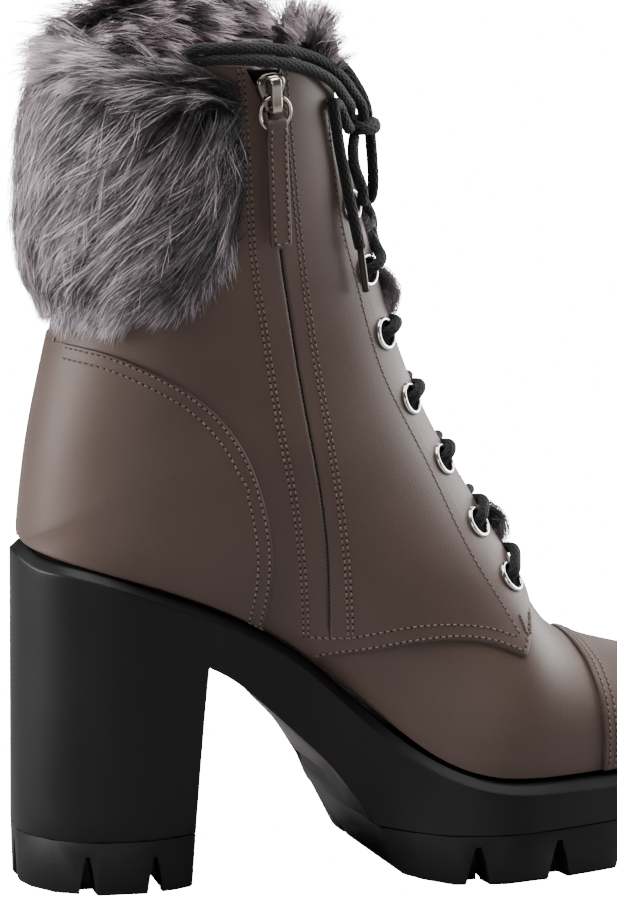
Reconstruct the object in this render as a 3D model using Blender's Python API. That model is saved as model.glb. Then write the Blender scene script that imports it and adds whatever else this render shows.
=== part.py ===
"""Left ankle boot with a lug platform, a block heel, a side zip, laces and a fur cuff.

Frame: +X points to the toe, +Z up, -Y is the inner (zip) side of the left foot, and the floor
is z = 0.  The origin is on the flat of the heel's tread.  Every length below is in millimetres,
with x counted from the back of the heel; ORIGIN_X and MM turn it into Blender's metres.

The upper is one function of two parameters.  A row v is a plane that fans from the sole (toe),
round the ankle, to the back seam (shaft).  A column q runs across that plane: 0 on the top or
front line, -1 on the inner feather line or back seam, +1 on the outer one.
"""
import math

import bpy
import bmesh
import numpy as np

MM = 0.001
ORIGIN_X = 28.0            # the origin's place, from the back of the heel
GAP = 0.3

# ---------------------------------------------------------------- driving dimensions
UPPER_FACE = -1.3          # outer face of the upper's wall, inward from the form's face
UPPER_WALL = 2.0           # lining, stiffener and leather together
PANEL_INNER = -1.0         # quarters and toe cap lie between these two faces
PANEL_OUTER = 0.0
COUNTER_INNER = 0.3        # the counter lies on the quarters
COUNTER_OUTER = 1.3
TONGUE_THICK = 5.0
TONGUE_HALF = 0.21         # half width as a share of the girth
TONGUE_CROWN = 0.042       # the crown that fills the throat
TONGUE_RISE = 3.6
TONGUE_TOP_ROW = 24.5
SEAT_DROP = 1.7            # top of the sole under the feather line
LIP_REACH = 3.6            # how far the sole's lip stands out past the feather line
LIP_BEVEL = 3.2            # height of the lip's bevel
HEEL_SEAM = 18.5           # top of the heel's tread
TREAD_SEAM = 17.3          # top of the forefoot's tread
LUG_HEIGHT = 16.0          # height of the notches between the lugs
HEEL_NOTCH = 7.8           # width of a notch at the floor, under the heel and the forefoot
FORE_NOTCH = 11.0
NOTCH_REACH = 9.0
TREAD_RAKE = 8.6           # how far the tread's rear face leans forward to the floor
TOE_SWING = 6.0            # how far the toe's tip lies to the inner side of the middle line
SWING_START = 140.0
TOE_SPRING = 5.0           # height of the tread's tip off the floor
SPRING_START = 198.0
INSOLE_THICK = 2.2
INSOLE_INSET = 5.3
COVER_INSET = 5.2          # from the waist's edge to the cover under it
COVER_RECESS = 2.3         # depth of the recess for that cover
LACE = 3.8                 # diameter of the lace
LACE_LIFT = 3.55           # the lace's middle over the form, where it leaves an eyelet
LACE_LOW = 2.4             # and over the throat, between the facings
CROSS_END = 0.07           # column beyond the middle where a crossing strand ends
CROSS_END_TOP = 0.05        # the same below the top eyelets, short of their rims
CROSS_DIVE = 0.035         # column at which a strand has come all the way down
CROSS_START = 0.045        # how far inside its eyelet's column it starts to come down
EYELET_RIM = ((5.7, 0.35), (4.5, 1.35), (3.3, 0.35))     # radius and height over the form
THROAT_ROW = 8.05          # row at the bottom of the throat
THROAT_HALF = 0.058        # half width of the throat as a share of the girth
COLLAR_ROW = 24.0
COLLAR_DROP = 0.85         # rows that the collar's rounded front corners lie lower
HEEL_ROW = 18.0            # row that ends at the back of the heel
LOCKS = 13                 # locks of fur round the cuff
LOCK_COLUMNS = 4
LOCK_DEPTH = 0.2           # how deep the grooves between locks are, as a share of the fur
LOCK_TIP = 6.0             # how far the locks' tips hang below the grooves
LOCK_LEAN = 0.9            # how many locks they slant from the cuff's lower edge to its top
SLIDER_Z = 266.0
PULL_AXIS = 3.7            # height of the ring's axis over the form
RING_RADIUS = 5.6
RING_WIRE = 0.65
TAB_OPENING = 0.95         # half height of the opening at the tab's fold
FRONT_SQUARE = 0.62        # how wide the heel lift's front edge stays straight

# ---------------------------------------------------------------- tables
# Sections of the form.  top: point on the top or front line; low: point on the feather line
# or back seam; wide_in, wide_out: greatest half widths; wide_at: their height as a share of
# the section; low_full, top_full: fullness of the corners (2 is an ellipse).
SECTIONS = (
    # row, top_x, top_z, low_x, low_z, wide_in, wide_out, wide_at, low_full, top_full
    (0, 237.2, 34.4, 237.2, 34.4, 0.0, 0.0, 0.40, 2.3, 2.5),
    (1, 238.2, 44.0, 235.6, 34.3, 9.5, 9.8, 0.40, 2.3, 2.5),
    (2, 235.6, 53.8, 230.6, 34.2, 16.4, 17.4, 0.38, 2.3, 2.5),
    (4, 217.2, 65.8, 214.5, 34.0, 27.4, 30.0, 0.34, 2.3, 2.45),
    (6, 192.5, 73.0, 190.0, 33.8, 37.6, 40.4, 0.30, 2.3, 2.25),
    (7, 180.8, 81.2, 174.0, 34.1, 42.6, 44.0, 0.27, 2.3, 2.1),
    (8, 172.8, 94.4, 158.0, 35.0, 45.2, 45.8, 0.25, 2.3, 1.95),
    (10, 156.8, 122.8, 127.0, 47.4, 39.0, 42.5, 0.27, 2.3, 1.8),
    (12, 141.2, 150.6, 89.0, 80.0, 33.6, 36.0, 0.36, 2.2, 1.85),
    (14, 131.2, 174.0, 44.0, 102.8, 34.0, 34.8, 0.42, 2.2, 1.95),
    (16, 125.4, 193.0, 11.0, 113.2, 34.0, 34.2, 0.43, 2.2, 2.0),
    (17, 123.4, 200.5, 4.4, 115.2, 33.6, 33.8, 0.43, 2.2, 2.0),
    (18, 121.8, 206.5, 2.4, 117.0, 33.3, 33.5, 0.43, 2.2, 2.0),
    (19, 120.0, 213.0, 2.8, 125.5, 33.0, 33.2, 0.43, 2.15, 2.0),
    (20, 117.0, 224.0, 6.0, 150.0, 32.6, 32.8, 0.43, 2.1, 2.0),
    (22, 110.8, 247.0, 17.5, 208.0, 33.8, 34.0, 0.45, 2.1, 2.1),
    (24, 105.6, 272.4, 20.6, 280.0, 37.6, 37.8, 0.47, 2.1, 2.2),
)
# Half widths of the feather line, where the upper meets the sole.
FEATHER_COLUMNS = ("x", "inner", "outer")
FEATHER = (
    (2.4, 0.0, 0.0), (4.4, 10.6, 10.6), (10.8, 20.0, 20.0), (24.0, 26.8, 26.8),
    (44.0, 28.2, 28.4), (66.0, 27.2, 28.4), (88.0, 26.0, 29.2), (108.0, 28.0, 33.0),
    (126.0, 35.5, 39.5), (142.0, 42.0, 44.0), (158.0, 44.2, 45.2), (174.0, 41.6, 43.2),
    (190.0, 36.2, 39.2), (203.0, 30.8, 33.8), (214.5, 24.8, 27.4), (224.0, 18.6, 20.4),
    (231.0, 12.6, 13.8), (235.6, 6.4, 7.0), (237.2, 0.0, 0.0),
)
# Stations of the sole.  top_x: place on the feather line; slide: how far the underside lies
# from it along x; low_z: height of the underside; flare_in, flare_out: how far its edge
# stands out past the feather line.
SOLE_COLUMNS = ("top_x", "slide", "low_z", "flare_in", "flare_out")
SOLE = (
    (2.4, -1.0, 18.5, 3.4, 3.4),
    (2.9, -1.0, 18.5, 3.4, 3.4),
    (4.8, -1.0, 18.5, 3.3, 3.3),
    (10.5, -0.8, 18.5, 3.2, 3.2),
    (24.0, -1.5, 18.5, 3.1, 3.1),
    (40.0, -3.0, 18.5, 3.0, 3.0),
    (52.0, -3.8, 18.5, 0.9, 0.9),
    (59.0, -4.0, 18.5, -1.0, -1.0),
    (60.5, -2.4, 76.0, 2.4, 2.4),
    (68.0, -2.4, 71.8, 2.9, 2.9),
    (79.0, -2.4, 62.6, 3.3, 3.0),
    (91.0, -1.8, 50.8, 3.2, 3.0),
    (102.0, -1.2, 39.4, 2.6, 2.4),
    (111.0, -1.0, 27.2, 0.8, 1.0),
    (118.0, -1.8, 17.3, -2.4, -1.6),
    (127.0, -0.8, 17.3, 1.6, 1.2),
    (140.0, 0.0, 17.3, 5.2, 3.6),
    (156.0, 0.0, 17.3, 5.2, 4.0),
    (174.0, 0.0, 17.3, 4.0, 4.0),
    (190.0, 0.0, 17.3, 3.8, 3.8),
    (203.0, 0.0, 17.3, 3.8, 3.8),
    (214.5, 0.0, 17.3, 3.8, 3.8),
    (224.0, 0.0, 17.3, 3.8, 3.8),
    (231.0, 0.0, 17.3, 3.8, 3.8),
    (235.2, 0.0, 17.3, 3.8, 3.8),
    (237.2, 0.0, 17.3, 3.8, 3.8),
)
# The outer edge of the underside lies behind its row in SOLE, as (top_x, back).
OUTER_BACK = ((60.5, 0.0), (68.0, 0.6), (79.0, 1.6), (91.0, 2.8), (102.0, 4.0), (111.0, 5.8),
              (118.0, 8.0), (127.0, 6.5), (140.0, 3.4), (156.0, 1.0), (174.0, 0.0))
HEEL_STATIONS = 8           # the first rows of SOLE stand on the heel
TREAD_FIRST = 14            # the first row of SOLE on the forefoot's tread

# Outlines in the side view, (x, z).
COUNTER_EDGE = ((13.0, 183.4), (23.0, 182.6), (39.5, 176.6), (59.0, 163.2), (70.6, 147.6),
                (77.0, 129.5), (79.6, 114.0), (79.4, 100.0), (77.0, 84.0))
QUARTER_EDGE = ((88.0, 72.0), (97.0, 75.6), (116.0, 79.2), (137.0, 81.6), (153.0, 80.0),
                (165.4, 74.9), (168.0, 81.0), (171.6, 89.0))
CAP_EDGE = ((186.6, 80.0), (190.2, 70.0), (191.8, 58.0), (192.4, 45.0), (192.6, 28.0))
ZIP_LINE = ((78.7, 260.7), (83.2, 214.0), (87.3, 193.8), (91.3, 160.3), (95.3, 136.1),
            (98.3, 109.5), (99.5, 84.0))
ZIP_MOUTH = ((70.4, 275.5), (84.0, 274.2))       # the parted edges at the collar
EYELET_ROWS = (8.8, 10.0, 11.35, 13.0, 15.1, 18.0, 20.3)
EYELET_SHARES = (0.165, 0.145, 0.125, 0.132, 0.128, 0.12, 0.12)

EYELET_SIDES = 10

# Fur cuff.  around: 0.455 at the zip, 1 at the back seam, 1.78 at the outer facing; low_z, top_z:
# its edges; thick: how far it stands out from the shaft.
FUR_CUFF = (
    # around, low_z, top_z, thick
    (0.455, 224, 268, 4.5), (0.50, 206, 270, 10), (0.58, 199, 276, 15), (0.66, 196, 283, 17),
    (0.75, 194, 286, 18), (0.88, 192, 283, 18), (1.0, 192, 280, 18), (1.12, 192, 280, 18),
    (1.25, 193, 281.5, 18), (1.38, 194, 286, 18), (1.5, 196, 295, 17), (1.6, 198, 302.4, 15.5),
    (1.68, 200, 300, 13), (1.78, 212, 290, 5),
)
FUR_PROFILE = ((0.0, 0.3), (0.1, 0.72), (0.28, 0.95), (0.5, 1.0), (0.7, 0.98), (0.86, 0.82),
               (0.96, 0.5), (1.0, 0.15))       # height as a share of the cuff, bulge
FUR_SEAT = 1.1              # the cuff's back over the quarters' face

# The lace above the top eyelets: spacing of the points and the route, from the knot outwards.
BOW = {
    "lace_knot": (3.0, ((112.4, -4.4, 250.2), (115.2, -6.2, 249.4), (119.3, -4.6, 249.0),
                        (121.6, -0.4, 249.2), (120.6, 3.8, 249.8), (116.6, 5.4, 250.2),
                        (113.2, 3.4, 250.4))),
    "lace_rise_inner": (6.0, ((114.6, -14.2, 225.5), (114.8, -13.8, 230.2), (113.4, -12.2, 235.0),
                              (113.0, -8.4, 243.6), (114.0, -6.2, 246.6))),
    "lace_rise_outer": (6.0, ((114.6, 14.2, 225.5), (119.6, 12.2, 224.0), (122.4, 7.6, 223.2),
                              (122.8, 3.4, 227.2), (122.2, 1.6, 236.4), (121.4, 1.6, 246.4))),
    "lace_loop_inner": (6.5, ((117.2, -5.6, 252.6), (116.8, -5.6, 255.8), (114.3, -7.0, 259.8),
                              (109.6, -12.0, 265.6), (104.3, -17.0, 270.6), (98.4, -22.0, 274.8),
                              (90.4, -27.0, 278.4), (84.5, -31.0, 280.4), (75.2, -35.0, 282.0),
                              (64.7, -38.4, 283.2), (56.0, -40.4, 283.6), (51.4, -41.4, 282.8),
                              (49.6, -41.8, 280.9), (51.4, -41.8, 279.0), (56.0, -42.2, 278.5),
                              (64.4, -41.2, 278.4), (74.6, -38.8, 277.4), (83.8, -35.2, 275.7),
                              (90.2, -31.6, 274.0), (97.0, -26.9, 270.9), (103.7, -21.2, 266.3),
                              (108.9, -14.2, 260.5), (111.9, -9.0, 256.6), (112.2, -6.0, 253.0))),
    "lace_loop_outer": (8.0, ((120.6, 1.6, 252.3), (119.8, 1.8, 256.0), (117.1, 5.0, 262.7),
                              (114.8, 8.0, 266.7), (111.4, 11.0, 270.1), (108.8, 14.0, 272.5),
                              (106.3, 18.0, 273.6), (104.4, 22.0, 271.0), (103.6, 24.4, 264.5),
                              (103.6, 25.2, 257.0), (105.2, 24.8, 251.6), (108.2, 21.8, 250.6),
                              (109.2, 20.0, 255.0), (109.6, 17.6, 261.0), (111.6, 12.4, 262.4),
                              (114.2, 8.0, 258.6), (114.4, 5.2, 253.2))),
    "lace_end_inner": (8.0, ((111.5, -9.4, 249.8), (108.4, -14.4, 254.0), (104.7, -19.4, 259.8),
                             (103.4, -21.6, 260.0), (104.0, -21.2, 253.0), (105.6, -19.6, 245.0),
                             (107.4, -18.7, 236.9), (108.9, -18.9, 229.2), (110.5, -19.2, 221.6),
                             (111.9, -19.6, 214.6), (112.5, -19.7, 212.0))),
    "lace_end_outer": (8.0, ((112.0, 7.9, 249.6), (110.3, 13.4, 246.6), (108.4, 18.4, 241.4),
                             (107.9, 19.4, 235.0), (108.9, 19.2, 228.0), (110.5, 19.4, 220.4),
                             (111.9, 19.4, 211.6), (113.0, 20.2, 204.0))),
    "aglet_inner": (5.0, ((112.7, -19.8, 211.2), (113.4, -20.2, 205.0), (114.2, -20.8, 197.7))),
    "aglet_outer": (5.0, ((113.1, 20.3, 203.4), (113.9, 21.0, 197.0), (114.6, 21.8, 189.6))),
}
TIP = 2.4                   # diameter of an aglet

# Zip's slider and pull, in the frame along the zip and out of the surface.
SLIDER_LINE = ((78.9, 258.0), (78.4, SLIDER_Z))
SLIDER_HALF = ((7.0, 3.5), (5.0, 5.2), (1.0, 4.6), (-3.0, 3.2), (-6.0, 2.8))   # along, half width
BRIDGE = ((-5.6, 2.0), (-5.6, 5.1), (-4.9, 5.8), (5.8, 5.8), (6.5, 5.1), (6.5, 2.0), (5.0, 2.0),
          (5.0, 4.85), (-4.6, 4.85), (-4.6, 2.0))
PULL_FOOT = (82.1, 215.0)
TAB = ((-7.3, 3.2, 1.2), (-8.2, 3.75, 1.95), (-12.3, 3.75, 1.95), (-14.8, 3.85, 1.1),
       (-48.8, 3.85, 1.1), (-50.6, 3.2, 1.0))          # along, half width, half thickness
TAB_POCKET = (-12.2, -8.4)


# ---------------------------------------------------------------- curves
def natural_spline(knots, values, at):
    """Natural cubic through (knots, values), read at the places `at`, straight past its ends."""
    knots = np.asarray(knots, float)
    values = np.asarray(values, float).reshape(len(knots), -1)
    steps = np.diff(knots)[:, None]
    system = np.eye(len(knots))
    right = np.zeros_like(values)
    for i in range(1, len(knots) - 1):
        before, after = steps[i - 1, 0], steps[i, 0]
        system[i, i - 1:i + 2] = (before, 2 * (before + after), after)
        right[i] = 6 * ((values[i + 1] - values[i]) / after
                        - (values[i] - values[i - 1]) / before)
    bend = np.linalg.solve(system, right)
    at = np.asarray(at, float)
    inside = np.clip(at, knots[0], knots[-1])
    k = np.clip(np.searchsorted(knots, inside, side="right") - 1, 0, len(knots) - 2)
    step = steps[k]
    up = (inside - knots[k])[..., None]
    down = step - up
    curve = ((bend[k] * down ** 3 + bend[k + 1] * up ** 3) / (6 * step)
             + (values[k] / step - bend[k] * step / 6) * down
             + (values[k + 1] / step - bend[k + 1] * step / 6) * up)
    first = (values[1] - values[0]) / steps[0] - bend[1] * steps[0] / 6
    last = (values[-1] - values[-2]) / steps[-1] + bend[-2] * steps[-1] / 6
    past = (at - inside)[..., None]
    return curve + np.where(past > 0, last, first) * past


def column(table, names, name):
    return np.array([row[names.index(name)] for row in table], float)


FEATHER_X = column(FEATHER, FEATHER_COLUMNS, "x")


def round_ends(x):
    """Angle that spreads the rounded ends of the feather line evenly."""
    share = (np.asarray(x, float) - FEATHER_X[0]) / (FEATHER_X[-1] - FEATHER_X[0])
    return np.arccos(np.clip(1 - 2 * share, -1, 1))


def feather(x):
    """Inner and outer half width of the feather line at x."""
    widths = np.array(FEATHER)[:, 1:]
    return np.maximum(natural_spline(round_ends(FEATHER_X), widths, round_ends(x)), 0.0)


def feather_height(x):
    """Height of the feather line at x, from the sections that end on it."""
    table = np.array(SECTIONS)
    rows = table[:, 0] <= HEEL_ROW
    low = table[rows][::-1, 3:5]
    return natural_spline(low[:, 0], low[:, 1], x)[..., 0]


# ---------------------------------------------------------------- the form of the boot
def form_point(v, q):
    """Point of the form's face.  Above the widest height the half section is a superellipse
    from the top line; below it another one runs down, cut where it meets the feather line."""
    v, q = np.broadcast_arrays(np.asarray(v, float), np.asarray(q, float))
    table = np.array(SECTIONS)
    row = natural_spline(table[:, 0], table[:, 1:], v)
    top, low = row[..., 0:2], row[..., 2:4]
    inner = q < 0
    share = np.abs(q)
    wide = np.maximum(np.where(inner, row[..., 4], row[..., 5]), 1e-6)
    seat = feather(low[..., 0])
    seat = np.where(inner, seat[..., 0], seat[..., 1]) * (v < HEEL_ROW)
    seat = np.minimum(seat, 0.985 * wide)
    at, low_full, top_full = row[..., 6], row[..., 7], row[..., 8]
    turn = np.minimum(np.pi * share, np.pi / 2)
    up_height = at + (1 - at) * np.abs(np.cos(turn)) ** (2 / top_full)
    up_width = wide * np.sin(turn) ** (2 / top_full)
    cut = np.arcsin(np.clip((seat / wide) ** (low_full / 2), 0, 1))
    kept = (1 - (seat / wide) ** low_full) ** (1 / low_full)
    turn = np.pi / 2 - np.maximum(share - 0.5, 0) * 2 * (np.pi / 2 - cut)
    down_height = at - at / kept * np.abs(np.cos(turn)) ** (2 / low_full)
    down_width = wide * np.sin(turn) ** (2 / low_full)
    height = np.where(share <= 0.5, up_height, down_height)
    width = np.where(share <= 0.5, up_width, down_width)
    place = low + (top - low) * height[..., None]
    return np.stack([place[..., 0], np.where(inner, -width, width), place[..., 1]], -1)


def form_normal(v, q, dv=0.02, dq=0.004):
    """Outward normal of the form, from differences along both parameters.  On the back seam it
    has no sideways part, and on the feather line it lies nearly level."""
    v, q = np.broadcast_arrays(np.asarray(v, float), np.asarray(q, float))
    along = form_point(v + dv, q) - form_point(np.maximum(v - dv, 0), q)
    across = form_point(v, np.minimum(q + dq, 1)) - form_point(v, np.maximum(q - dq, -1))
    normal = np.cross(across, along)
    normal[..., 1] = np.where((np.abs(q) >= 1) & (v >= HEEL_ROW), 0.0, normal[..., 1])
    near_seat = np.clip((np.abs(q) - 0.8) / 0.2, 0, 1) * np.clip(HEEL_ROW + 1 - v, 0, 1)
    normal[..., 2] *= 1 - 0.7 * near_seat
    length = np.linalg.norm(normal, axis=-1, keepdims=True)
    return np.where(length > 1e-9, normal / np.maximum(length, 1e-12), (1.0, 0.0, 0.0))


def form(v, q, out=0.0):
    """The form's face moved `out` millimetres along its normal."""
    return form_point(v, q) + np.asarray(out, float)[..., None] * form_normal(v, q)


def swing(x):
    """Sideways curve of the boot's middle line: straight to the ball, then to the inner side."""
    ahead = np.clip((np.asarray(x, float) - SWING_START) / (FEATHER_X[-1] - SWING_START), 0, None)
    return -TOE_SWING * ahead ** 1.7


def throat_half(v):
    """Half width of the throat as a share of the girth: a rounded end, then even."""
    rise = np.clip((np.asarray(v, float) - THROAT_ROW) / 0.9, 0, 1)
    return THROAT_HALF * np.sqrt(1 - (1 - rise) ** 2)


def collar_drop(v, q):
    """Rows that the collar's front corners lie lower than a straight edge."""
    front = np.clip(1 - np.abs(q) / 0.36, 0, 1) ** 1.5
    return COLLAR_DROP * np.clip((v - 21.5) / 2.5, 0, 1) * front


def shaft_point(q, z, out):
    """Point over the shaft at the column q and the height z, also above the collar."""
    rows = np.linspace(17.5, 27.0, 96)
    return form(np.interp(z, form_point(rows, q)[:, 2], rows), q, out)


def side_place(x, z):
    """Row and column of the inner side's point at (x, z) in the side view, by Newton's steps."""
    place = np.array([20.0, -0.4])
    for _ in range(30):
        here = form_point(*place)[[0, 2]]
        slopes = np.stack([(form_point(*(place + step))[[0, 2]] - here) / 1e-4
                           for step in ((1e-4, 0.0), (0.0, 1e-4))], 1)
        place = place + np.clip(np.linalg.solve(slopes, (x, z) - here), -1.0, 1.0) * (1.0, 0.1)
    return place


# ---------------------------------------------------------------- meshes and objects
def material(name, colour, roughness, metallic=0.0):
    made = bpy.data.materials.new(name)
    made.use_nodes = True
    shader = made.node_tree.nodes["Principled BSDF"]
    shader.inputs["Base Color"].default_value = (*colour, 1.0)
    shader.inputs["Roughness"].default_value = roughness
    shader.inputs["Metallic"].default_value = metallic
    return made


def solid(name, points, faces, finish, swung=True):
    """Object from millimetre points, swung with the middle line: doubles merged, faces turned
    outwards, origin at zero."""
    points = np.array(points, float)
    if swung:
        points[:, 1] += swing(points[:, 0])
    points[:, 0] -= ORIGIN_X
    mesh = bpy.data.meshes.new(name)
    mesh.from_pydata((points * MM).tolist(), [], [list(map(int, face)) for face in faces])
    shape = bmesh.new()
    shape.from_mesh(mesh)
    bmesh.ops.remove_doubles(shape, verts=shape.verts, dist=1e-6)
    bmesh.ops.dissolve_degenerate(shape, dist=1e-6, edges=shape.edges)
    bmesh.ops.recalc_face_normals(shape, faces=shape.faces)
    shape.to_mesh(mesh)
    shape.free()
    mesh.materials.append(finish)
    mesh.shade_smooth()
    mesh.set_sharp_from_angle(angle=math.radians(38))
    made = bpy.data.objects.new(name, mesh)
    bpy.context.scene.collection.objects.link(made)
    return made


def grid_triangles(rows, columns, start=0):
    """Triangles of a grid of points, every quad split along the same diagonal."""
    i, j = np.meshgrid(np.arange(rows - 1), np.arange(columns - 1), indexing="ij")
    a = (start + i * columns + j).ravel()
    b, c, d = a + 1, a + columns + 1, a + columns
    return np.concatenate([np.stack([a, b, c], 1), np.stack([a, c, d], 1)])


def wall(name, face, back, triangles, finish):
    """Closed wall between two sheets with the same triangles: sheets, then a rim round them."""
    _, keep, merged = np.unique(np.round(face, 3), axis=0, return_index=True, return_inverse=True)
    merged = merged.ravel()
    face, back = face[keep], back[keep]
    tris = merged[triangles]
    tris = tris[(tris[:, 0] != tris[:, 1]) & (tris[:, 1] != tris[:, 2]) & (tris[:, 0] != tris[:, 2])]
    edges = np.concatenate([tris[:, [0, 1]], tris[:, [1, 2]], tris[:, [2, 0]]])
    _, first, count = np.unique(np.sort(edges, 1), axis=0, return_index=True, return_counts=True)
    rim = edges[first[count == 1]]
    shift = len(face)
    sides = np.concatenate([np.stack([rim[:, 1], rim[:, 0], rim[:, 0] + shift], 1),
                            np.stack([rim[:, 1], rim[:, 0] + shift, rim[:, 1] + shift], 1)])
    faces = np.concatenate([tris, tris[:, ::-1] + shift, sides])
    return solid(name, np.concatenate([face, back]), faces, finish)


def loft(name, rings, finish, swung=True):
    """Closed solid through rings of as many points each; the end rings are capped."""
    rings = np.asarray(rings, float)
    count, size = rings.shape[:2]
    faces = [(i * size + j, i * size + (j + 1) % size, (i + 1) * size + (j + 1) % size,
              (i + 1) * size + j) for i in range(count - 1) for j in range(size)]
    faces.append(tuple(range(size))[::-1])
    faces.append(tuple((count - 1) * size + j for j in range(size)))
    return solid(name, rings.reshape(-1, 3), faces, finish, swung)


def prism(name, outline, near, far):
    """Hidden cutter: an outline in the side view, carried from y = near to y = far."""
    outline = np.asarray(outline, float)
    rings = [np.insert(outline, 1, y, axis=1) for y in (near, far)]
    made = loft(name, rings, FINISH["cutter"], swung=False)
    hide(made)
    return made


def hide(cutter):
    cutter.hide_render = True
    cutter.display_type = "WIRE"


def cut(target, cutter, operation="DIFFERENCE"):
    step = target.modifiers.new(cutter.name, "BOOLEAN")
    step.operation = operation
    step.solver = "EXACT"
    step.object = cutter


def tube_rings(path, radius, sides=8):
    """Rings round a path, carried without twist from its first point."""
    path = np.asarray(path, float)
    ahead = np.gradient(path, axis=0)
    ahead /= np.linalg.norm(ahead, axis=1)[:, None]
    side = np.cross(ahead[0], (0.0, 0.0, 1.0))
    if np.linalg.norm(side) < 0.1:
        side = np.cross(ahead[0], (0.0, 1.0, 0.0))
    turns = np.arange(sides) * 2 * np.pi / sides
    rings = []
    for point, direction in zip(path, ahead):
        side = side - direction * side.dot(direction)
        side /= np.linalg.norm(side)
        up = np.cross(direction, side)
        rings.append(point + radius * (np.cos(turns)[:, None] * side + np.sin(turns)[:, None] * up))
    return np.array(rings)


def smooth_path(points, spacing):
    """Points every `spacing` millimetres on a natural spline through the route's own points."""
    points = np.asarray(points, float)
    reach = np.concatenate([[0], np.cumsum(np.linalg.norm(np.diff(points, axis=0), axis=1))])
    count = max(int(round(reach[-1] / spacing)), 3) + 1
    return natural_spline(reach, points, np.linspace(0, reach[-1], count))


def cord(name, route, diameter, finish, spacing=9.0):
    """Lace as a poly curve with a round bevel and filled caps."""
    path = smooth_path(route, spacing)
    curve = bpy.data.curves.new(name, "CURVE")
    curve.dimensions = "3D"
    curve.bevel_depth = diameter / 2 * MM
    curve.bevel_resolution = 2
    curve.use_fill_caps = True
    line = curve.splines.new("POLY")
    line.points.add(len(path) - 1)
    for spot, point in zip(line.points, path):
        spot.co = (*((point - (ORIGIN_X, 0, 0)) * MM), 1.0)
    curve.materials.append(finish)
    made = bpy.data.objects.new(name, curve)
    bpy.context.scene.collection.objects.link(made)
    return made


# ---------------------------------------------------------------- upper and its overlays
UPPER_ROWS = np.array([0, 0.45, 1.15, 2.1, 3.4, 5.0, 6.8, 8.05, 8.3, 9.1, 10.3, 11.6, 12.9,
                       14.2, 15.5, 16.8, 18.0, 19.2, 20.6, 22.2, 24.0])
HALF_SHARES = np.array([0, 0.05, 0.115, 0.19, 0.28, 0.38, 0.49, 0.61, 0.74, 0.87, 1.0])
HALF_COLUMNS = len(HALF_SHARES)


def boot_sheet(out, rows=UPPER_ROWS):
    """Both halves of the form's face at the height `out`, parted at the throat."""
    edge = throat_half(rows)[:, None]
    q = edge + (1 - edge) * HALF_SHARES
    v = rows[:, None] - collar_drop(rows[:, None], q)
    halves = [form(v, sign * q, out) for sign in (-1, 1)]
    return np.concatenate([half.reshape(-1, 3) for half in halves])


def boot_shell(name, outer, inner, finish, rows=UPPER_ROWS):
    """Wall between two heights over the form, with the upper's own rows and columns."""
    size = len(rows) * HALF_COLUMNS
    inner_half = grid_triangles(len(rows), HALF_COLUMNS)
    outer_half = grid_triangles(len(rows), HALF_COLUMNS, size)[:, ::-1]
    return wall(name, boot_sheet(outer, rows), boot_sheet(inner, rows),
                np.concatenate([inner_half, outer_half]), finish)


def strip_outline(line, half, top_spread=()):
    """Closed outline half a width either side of a line in the side view."""
    line = np.asarray(line, float)
    ahead = np.gradient(line, axis=0)
    ahead /= np.linalg.norm(ahead, axis=1)[:, None]
    side = np.stack([-ahead[:, 1], ahead[:, 0]], 1) * half
    left, right = line + side, line - side
    if len(top_spread):
        (back_x, back_z), (front_x, front_z) = top_spread
        grow = half - 0.6
        left = np.concatenate([[(front_x + grow, 300.0), (front_x + grow, front_z)], left])
        right = np.concatenate([[(back_x - grow, 300.0), (back_x - grow, back_z)], right])
    return np.concatenate([left, right[::-1]])


def rows_between(low, high):
    return UPPER_ROWS[(UPPER_ROWS >= low) & (UPPER_ROWS <= high)]


def make_upper():
    upper = boot_shell("upper", UPPER_FACE, UPPER_FACE - UPPER_WALL, FINISH["lining"])
    cut(upper, prism("cut_upper_zip", strip_outline(ZIP_LINE, 2.8, ZIP_MOUTH), -70, -8))


def make_quarters():
    """Inner quarter with the zip's slot, and outer quarter, sewn over the vamp."""
    outline = [(-25, 60), (80, 60), *QUARTER_EDGE, (188, 104), (188, 300), (-25, 300)]
    for side, near, far in (("inner", -80, -GAP / 2), ("outer", GAP / 2, 80)):
        quarter = boot_shell("quarter_" + side, PANEL_OUTER, PANEL_INNER, FINISH["leather"],
                             rows_between(6.8, 24.0))
        cut(quarter, prism("cut_quarter_" + side, outline, near, far), "INTERSECT")
        if side == "inner":
            cut(quarter, prism("cut_quarter_zip", strip_outline(ZIP_LINE, 0.6, ZIP_MOUTH), -70, -8))


def make_counter():
    counter = boot_shell("heel_counter", COUNTER_OUTER, COUNTER_INNER, FINISH["leather"],
                         rows_between(11.6, 22.2))
    outline = [(-25, 60), (76, 60), *COUNTER_EDGE[::-1], (-25, 184)]
    cut(counter, prism("cut_counter", outline, -80, 80), "INTERSECT")


def make_toe_cap():
    cap = boot_shell("toe_cap", PANEL_OUTER, PANEL_INNER, FINISH["leather"], rows_between(0.0, 6.8))
    outline = [(186.6, 95), *CAP_EDGE, (260, 28), (260, 95)]
    cut(cap, prism("cut_cap", outline, -80, 80), "INTERSECT")


def make_zip():
    """Tape in the upper's slot and the closed teeth on it, both ending under the slider."""
    for name, outer, inner, half in (("zip_tape", -2.2, -3.1, 2.4), ("zip_teeth", -1.1, -1.9, 1.7)):
        strip = boot_shell(name, outer, inner, FINISH["tape" if name == "zip_tape" else "metal"],
                           rows_between(10.3, 24.0))
        line = (*ZIP_LINE[:-1], (99.4, 86.0))
        cut(strip, prism("cut_" + name, strip_outline(line, half), -70, -8), "INTERSECT")


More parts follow.
